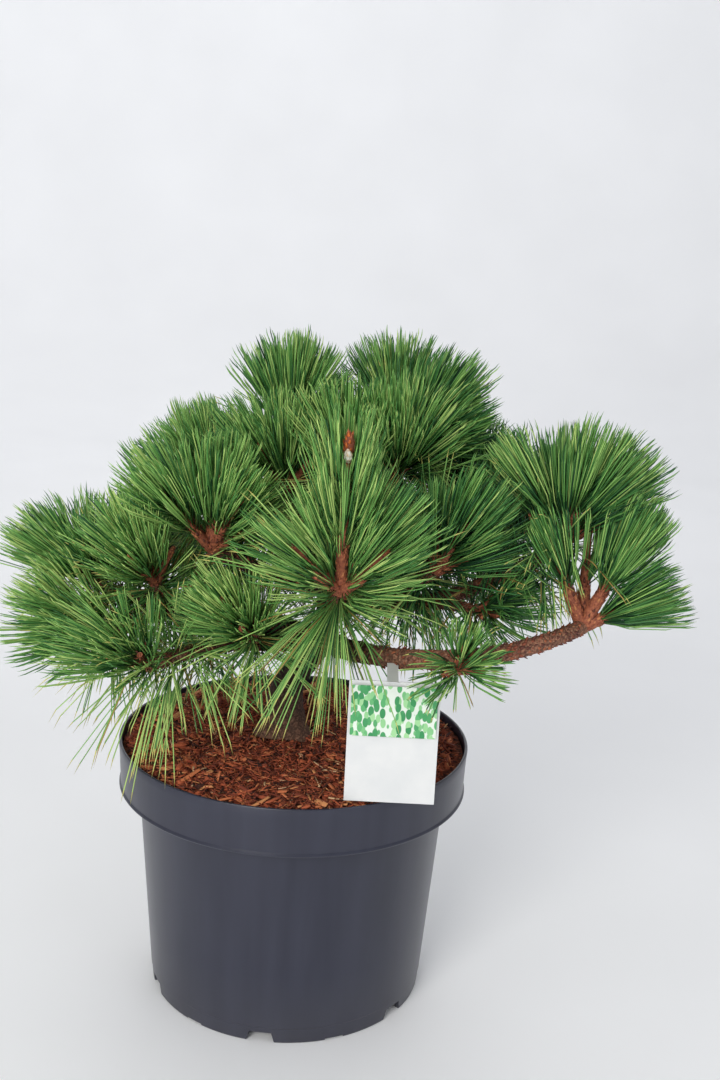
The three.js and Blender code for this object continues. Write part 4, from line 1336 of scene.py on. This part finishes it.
def grow_skirt(name):
    """Last year's needles on the stem of a mass, with yellow tips."""
    scale, droop = MASSES[name][-1]
    begin, end, radius = stem_of(name)
    skirt = grow_old(name, begin, end, SKIRT_LENGTH * scale, radius, droop,
                     SKIRT_PER_MM * SKIRT_DENSE.get(name, 1), SKIRT_LEAN.get(name, 0))
    tone = np.where(TIP_FACES, YELLOW_TONE, deal(spray_tone(end, SKIRT_LIFT), len(skirt[0])))
    keep_needles(name, skirt, dry_some(tone, SKIRT_DRY))


print("old needles open to", OLD_OPEN, "degrees")

# %% Grow every mass
PAIRS_PER_MM = 2.4
TIP_SHARE = 0.5
SHOOT_CORE = 2.2 * MM
SLACK = 14 * MM
DROOP = 0.02
JITTER = 7
CURL = 18
shoot_lines = []

for name in MASSES:
    grow_skirt(name)
    end = stem_ends[name]
    reach = full_reach(name)
    foot_open, tip_open = OPEN.get(name, USUAL_OPEN)
    for along, length, bare in with_twigs(name):
        bud_share = 1 - BUD_ROOM.get(name, USUAL_BUD_ROOM) / length
        fresh = grow(name, end, along, length,
                     lambda share: foot_open + (tip_open - foot_open) * share ** 0.7,
                     lambda share: (share <= bud_share) * reach * (1 + (TIP_SHARE - 1) * share ** 1.2),
                     SHOOT_CORE, SLACK, DROOP, JITTER, CURL, bare, PAIRS_PER_MM * DENSE.get(name, 1))
        tone = deal(spray_tone(end + along * length, DARKER.get(name, 0)), len(fresh[0]))
        keep_needles(name, fresh, tone)
        shoot_lines.append((name, end, along, length, bare))
print("shoots:", len(shoot_lines))

# %% Old needles on the boughs
OLD_PART = (0.5, 0.88)
OLD_LENGTH = 0.72
OLD_CORE = 3.5 * MM
OLD_DROOP = 0.1
OLD_PER_MM = 1.6
OLD_LIFT = 0.6
OLD_DRY = 0.12

for name in BOUGHS:
    if name in BARE_BOUGHS:
        continue
    begin, end = bough_points(lines[name][0], OLD_PART)
    old = grow_old(name, begin, end, OLD_LENGTH, OLD_CORE, OLD_DROOP, OLD_PER_MM)
    tone = deal(spray_tone(end, OLD_LIFT), len(old[0]))
    keep_needles(name, old, dry_some(tone, OLD_DRY))
print("needles:", {group: sum(len(b[1]) for b in batches) for group, batches in needle_batches.items()})

# %% Needles as pieces
for group, batches in needle_batches.items():
    members = [name for name in MASSES if name.split("_")[0] == group]
    piece = many(f"{group}_needles", batches, greens)
    finish_piece(piece, "needles", *(f"needles_{name}" for name in members))

# %% [markdown]
# ## Shoots, scales and buds
#
# Under the needles each shoot is a finger of pale wood, wrapped in orange-brown papery scales that
# show where the shoot is bare. A resinous bud closes its tip. The boughs carry rows of the same
# scales, dried and greyer, where needles once stood.


# %% Scales in a spiral
SUNK = 0.85
LEAN_JITTER = 6
SCALE_SIZES = (0.75, 1.2)


def stand(root, way, out, shape, lean, jitter, sizes):
    """Scales of a length, width and thickness, which stand off the wood by a lean in degrees."""
    long, wide, thick = shape
    off = np.radians(lean + rng.normal(0, jitter, len(root)))[:, None]
    along = unit(way * np.cos(off) + out * np.sin(off))
    across = unit(np.cross(along, out))
    size = rng.uniform(*sizes, (len(root), 1))
    return copy_all(SCALE, root, along * long * size, np.zeros(root.shape), across * wide * size,
                    unit(np.cross(across, along)) * thick * -size)


def spiral(foot, way, length, radius_at, step, shape, lean):
    """Scales in a spiral round a shoot, one for each step along it."""
    count = max(1, round(length / step))
    share = (np.arange(count) + 0.5) / count
    out = spoke(way, (np.arange(count) * GOLDEN_TURN)[:, None])
    root = foot + way * (share * length)[:, None] + out * radius_at(share)[:, None] * SUNK
    return stand(root, way, out, shape, lean, LEAN_JITTER, SCALE_SIZES)


print("scales differ in size from", SCALE_SIZES[0], "to", SCALE_SIZES[1])

# %% Wood and scales of the shoots
# How many times as thick as usual, places along a shoot, and the wood's radius there in mm.
STOUT = {"front": 1.25, "right_low": 1.4}
WOOD_PLACES = (0, 0.35, 0.5, 1)
WOOD_RADII = (3.6, 3.4, 2.5, 1.9)
WOOD_SHARE = 0.97
WRAPPED = 0.06
# Step along the shoot, then length, width and thickness, then lean of the scales.
PACKED =(0.42 * MM, (5 * MM, 1.1 * MM, 1.1 * MM), 16)
SPARSE = (1.4 * MM, (4.5 * MM, 0.8 * MM, 0.9 * MM), 20)
BUD_FOOT = 9 * MM
BUD_SIZE = (11 * MM, 2.5 * MM)
BIG_BUD = 1.6
BUD_SIZES = (0.8, 1.05)
tubes = []
scales = []
buds = []
for number, (name, foot, way, length, bare) in enumerate(shoot_lines):
    wood = np.linspace(0, 1, 12)
    stout = STOUT.get(name, 1) * MM
    radii = np.interp(wood, WOOD_PLACES, WOOD_RADII) * stout
    tubes.append(tube(f"shoot_{number}", foot + way * (wood * length * WOOD_SHARE)[:, None], radii, 3))
    bare += WRAPPED
    scales.append(spiral(foot, way, length * bare, lambda s: (3.6 - 0.2 * s) * stout, *PACKED))
    scales.append(spiral(foot + way * length * bare, way, length * (1 - bare),
                         lambda s: 2.6 * MM * (1 - 0.3 * s), *SPARSE))
    tip = foot + way * (length - BUD_FOOT)
    # The first shoot is the leading one of the front mass, and it has the big bud.
    big = BIG_BUD if number == 0 else rng.uniform(*BUD_SIZES)
    long, wide = (measure * big for measure in BUD_SIZE)
    side, over = crossways(way)
    buds.append(copy_all(BUD, [tip], [way * long], [way * 0], [side * wide], [over * wide]))
    bud_scales = spiral(tip, way, 8 * MM * big, lambda s: 2.6 * MM * big * (1 - 0.55 * s ** 2),
                        0.5 * MM, (3.4 * MM * big, 0.8 * MM * big, 0.8 * MM), 12)
    if number == 0:
        big_scales = bud_scales
    else:
        scales.append(bud_scales)
print("shoots:", len(tubes), "scales:", sum(len(batch) for batch in scales))

# %% Scales on the boughs
SCALE_STEP = 0.45 * MM
OLD_SCALE = (4 * MM, 1.3 * MM, 1 * MM)
limb_scales = []
for name, (controls, (first, last)) in lines.items():
    count = round(bough_length(controls) / SCALE_STEP)
    share = np.linspace(0.04, 1, count)
    at = bough_points(controls, share)
    way = unit(np.gradient(at, axis=0))
    out = spoke(way, (np.arange(count) * GOLDEN_TURN)[:, None])
    radius = ((first + (last - first) * share) * MM)[:, None]
    limb_scales.append(stand(at + out * radius * 0.95, way, out, OLD_SCALE, 30, 10, (0.7, 1.3)))
print("scales on boughs:", sum(len(batch) for batch in limb_scales))

# %% Young wood
YOUNG_SPECK = 2 * MM

shoots = join(tubes, "shoots")
modify(shoots, "DISPLACE", texture=plates, strength=0.5 * MM, mid_level=0.5)
smooth(shoots, 60)
young_wood, tree, shader = new_material("young shoot bark", Roughness=0.8)
place = add_node(tree, "ShaderNodeTexCoord").outputs["Object"]
speck = add_node(tree, "ShaderNodeTexNoise", {"Scale": 1 / YOUNG_SPECK, "Detail": 4.0}, {"Vector": place})
tan = add_node(tree, "ShaderNodeValToRGB", None, {"Fac": speck},
               [(0.3, "#6b3828"), (0.5, "#915038"), (0.72, "#ae6c48")])
add_links(tree, shader, {"Base Color": tan})
dress(shoots, young_wood)
all_masses = [f"needles_{name}" for name in MASSES]
finish_piece(shoots, "bark", *all_masses)


# %% Scales and buds as pieces
def dealt(model, batches, shares):
    """Batches of copies, with a brown for each copy by the shares of the browns."""
    return [(model, batch, rng.choice(len(BROWNS), (len(batch), 1), p=shares)) for batch in batches]


shoot_batches = dealt(SCALE, scales, [0.2, 0.35, 0.3, 0.15, 0])
shoot_batches += dealt(SCALE, [big_scales], [0, 0.05, 0.15, 0.3, 0.5])
finish_piece(many("shoot_scales", shoot_batches, browns), "bark", *all_masses)
limb_batches = dealt(SCALE, limb_scales, [0.35, 0.4, 0.2, 0.05, 0])
finish_piece(many("bough_scales", limb_batches, browns), "bark", *(f"bough_{name}" for name in BOUGHS))
bud_batches = dealt(BUD, buds, [0.05, 0.25, 0.4, 0.3, 0])
finish_piece(many("buds", bud_batches, browns), "bark", *all_masses)

# %% [markdown]
# The longest bud, on the front shoot, has bled resin that dried to a cream white crust. It is an
# icosphere, squeezed, roughened by a noise texture of 1.8 mm, and sits on the bud's front. A noise
# at 2.9 mm lets the tan of older resin through.

# %% Dried resin
RESIN_SIZE = (2.8 * MM, 2.6 * MM, 4.8 * MM)
RESIN_TAPER = 0.3
RESIN_PLACE = (0, -3.4 * MM, -7 * MM)
CLOT = 2.857 * MM

start()
bpy.ops.mesh.primitive_ico_sphere_add(subdivisions=4, radius=1)
resin = named("bud_resin")
places = vertices_of(resin) * RESIN_SIZE
places[:, :2] *= 1 - RESIN_TAPER * np.clip(places[:, 2:] / RESIN_SIZE[2], 0, 1)
put_vertices(resin, places + big_bud + RESIN_PLACE)
crust = bpy.data.textures.new("resin crust", "CLOUDS")
crust.noise_scale = 1.8 * MM
modify(resin, "DISPLACE", texture=crust, strength=1.6 * MM, mid_level=0.5)
smooth(resin, 60)
dried, tree, shader = new_material("dried resin", Roughness=0.42)
place = add_node(tree, "ShaderNodeTexCoord").outputs["Object"]
clot = add_node(tree, "ShaderNodeTexNoise", {"Scale": 1 / CLOT, "Detail": 3.0}, {"Vector": place})
cream = add_node(tree, "ShaderNodeValToRGB", None, {"Fac": clot},
                 [(0.35, "#cfae86"), (0.5, "#e9e3d6"), (0.7, "#f4f1ea")])
add_links(tree, shader, {"Base Color": cream})
dress(resin, dried)
start()
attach(resin, "root")
print("resin triangles:", triangles(resin))

# %% [markdown]
# ## Label
#
# A plain plant label hangs by its own loop from the low right bough. It is a thin white card of
# plastic, here with no words. Its upper part carries a printed panel: a plain pattern of slanting
# oval leaves on a pale ground. The print is a film a tenth of a millimetre proud, so it is a plane
# with its corners rounded and a little thickness, and the leaves are Voronoi cells, 3.3 mm wide and
# 6.3 mm long. The card's own white is a little cloudy, in waves of 17 mm.

# %% Printed panel
CARD_WIDTH = 65 * MM
CARD_HEIGHT = 92 * MM
PANEL_SIZE = (61 * MM, 38 * MM)
PANEL_CORNER = 1.2 * MM
PANEL_DROP = 3 * MM
FILM = 0.1 * MM

start()
bpy.ops.mesh.primitive_plane_add(size=1)
panel = named("label_panel")
edit("VERT")
bpy.ops.transform.resize(value=(*PANEL_SIZE, 1))
bpy.ops.mesh.bevel(offset=PANEL_CORNER, segments=4, affect="VERTICES")
edit("FACE")
extrude((0, 0, 2 * FILM))
tidy_faces()
places = vertices_of(panel)
middle = label_low + [CARD_WIDTH / 2, FILM, CARD_HEIGHT - PANEL_DROP - PANEL_SIZE[1] / 2]
places = middle + np.stack([places[:, 0], -places[:, 2], places[:, 1]], 1)
put_vertices(panel, places)
print("panel in mm:", np.round(places.min(0) / MM, 1), np.round(places.max(0) / MM, 1))

# %% Printed leaf pattern
LEAF = (3.333 * MM, 3.333 * MM, 6.25 * MM)
LEAF_SLANT = (0.0, 0.6, 0.0)

film, tree, shader = new_material("printed leaf pattern", Roughness=0.4)
place = add_node(tree, "ShaderNodeTexCoord").outputs["Object"]
slant = add_node(tree, "ShaderNodeMapping",
                 {"Rotation": LEAF_SLANT, "Scale": [1 / side for side in LEAF]}, {"Vector": place})
leaf = add_node(tree, "ShaderNodeTexVoronoi", {"Scale": 1.0}, {"Vector": slant}, feature="F1")
leaf_green = add_node(tree, "ShaderNodeValToRGB", None, {"Fac": leaf.outputs["Color"]},
                      [(0.25, "#2f8a50"), (0.5, "#58a96a"), (0.8, "#9bcf95")])
inside = add_node(tree, "ShaderNodeValToRGB", None, {"Fac": leaf}, [(0.6, "#ffffff"), (0.66, "#000000")])
leafy = add_node(tree, "ShaderNodeMix", {FIRST: linear("#d9e2d8")}, {SHARE: inside, SECOND: leaf_green},
                 data_type="RGBA")
add_links(tree, shader, {"Base Color": leafy.outputs[MIXED]})
dress(panel, film)
start()
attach(panel, "root")
print("panel triangles:", triangles(panel))

# %% Finish of the label
CARD_CLOUD = 16.667 * MM

card, tree, shader = new_material("white label plastic", Roughness=0.38, IOR=1.5)
place = add_node(tree, "ShaderNodeTexCoord").outputs["Object"]
fibre = add_node(tree, "ShaderNodeTexNoise", {"Scale": 1 / CARD_CLOUD, "Detail": 4.0}, {"Vector": place})
white = add_node(tree, "ShaderNodeValToRGB", None, {"Fac": fibre}, [(0.3, "#d0d2d3"), (0.7, "#d8d9d9")])
add_links(tree, shader, {"Base Color": white})
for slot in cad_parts["label"].material_slots:
    slot.material = card
print("label corners in mm:", np.round(label_low / MM), np.round(label_high / MM))

# %% Finish
visual_box = [list(corner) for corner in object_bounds()]
print("grown past the frame in mm:",
      [round((low - high) / MM, 1) for low, high in zip(CAD_BOX[0], visual_box[0])],
      [round((high - low) / MM, 1) for low, high in zip(CAD_BOX[1], visual_box[1])])
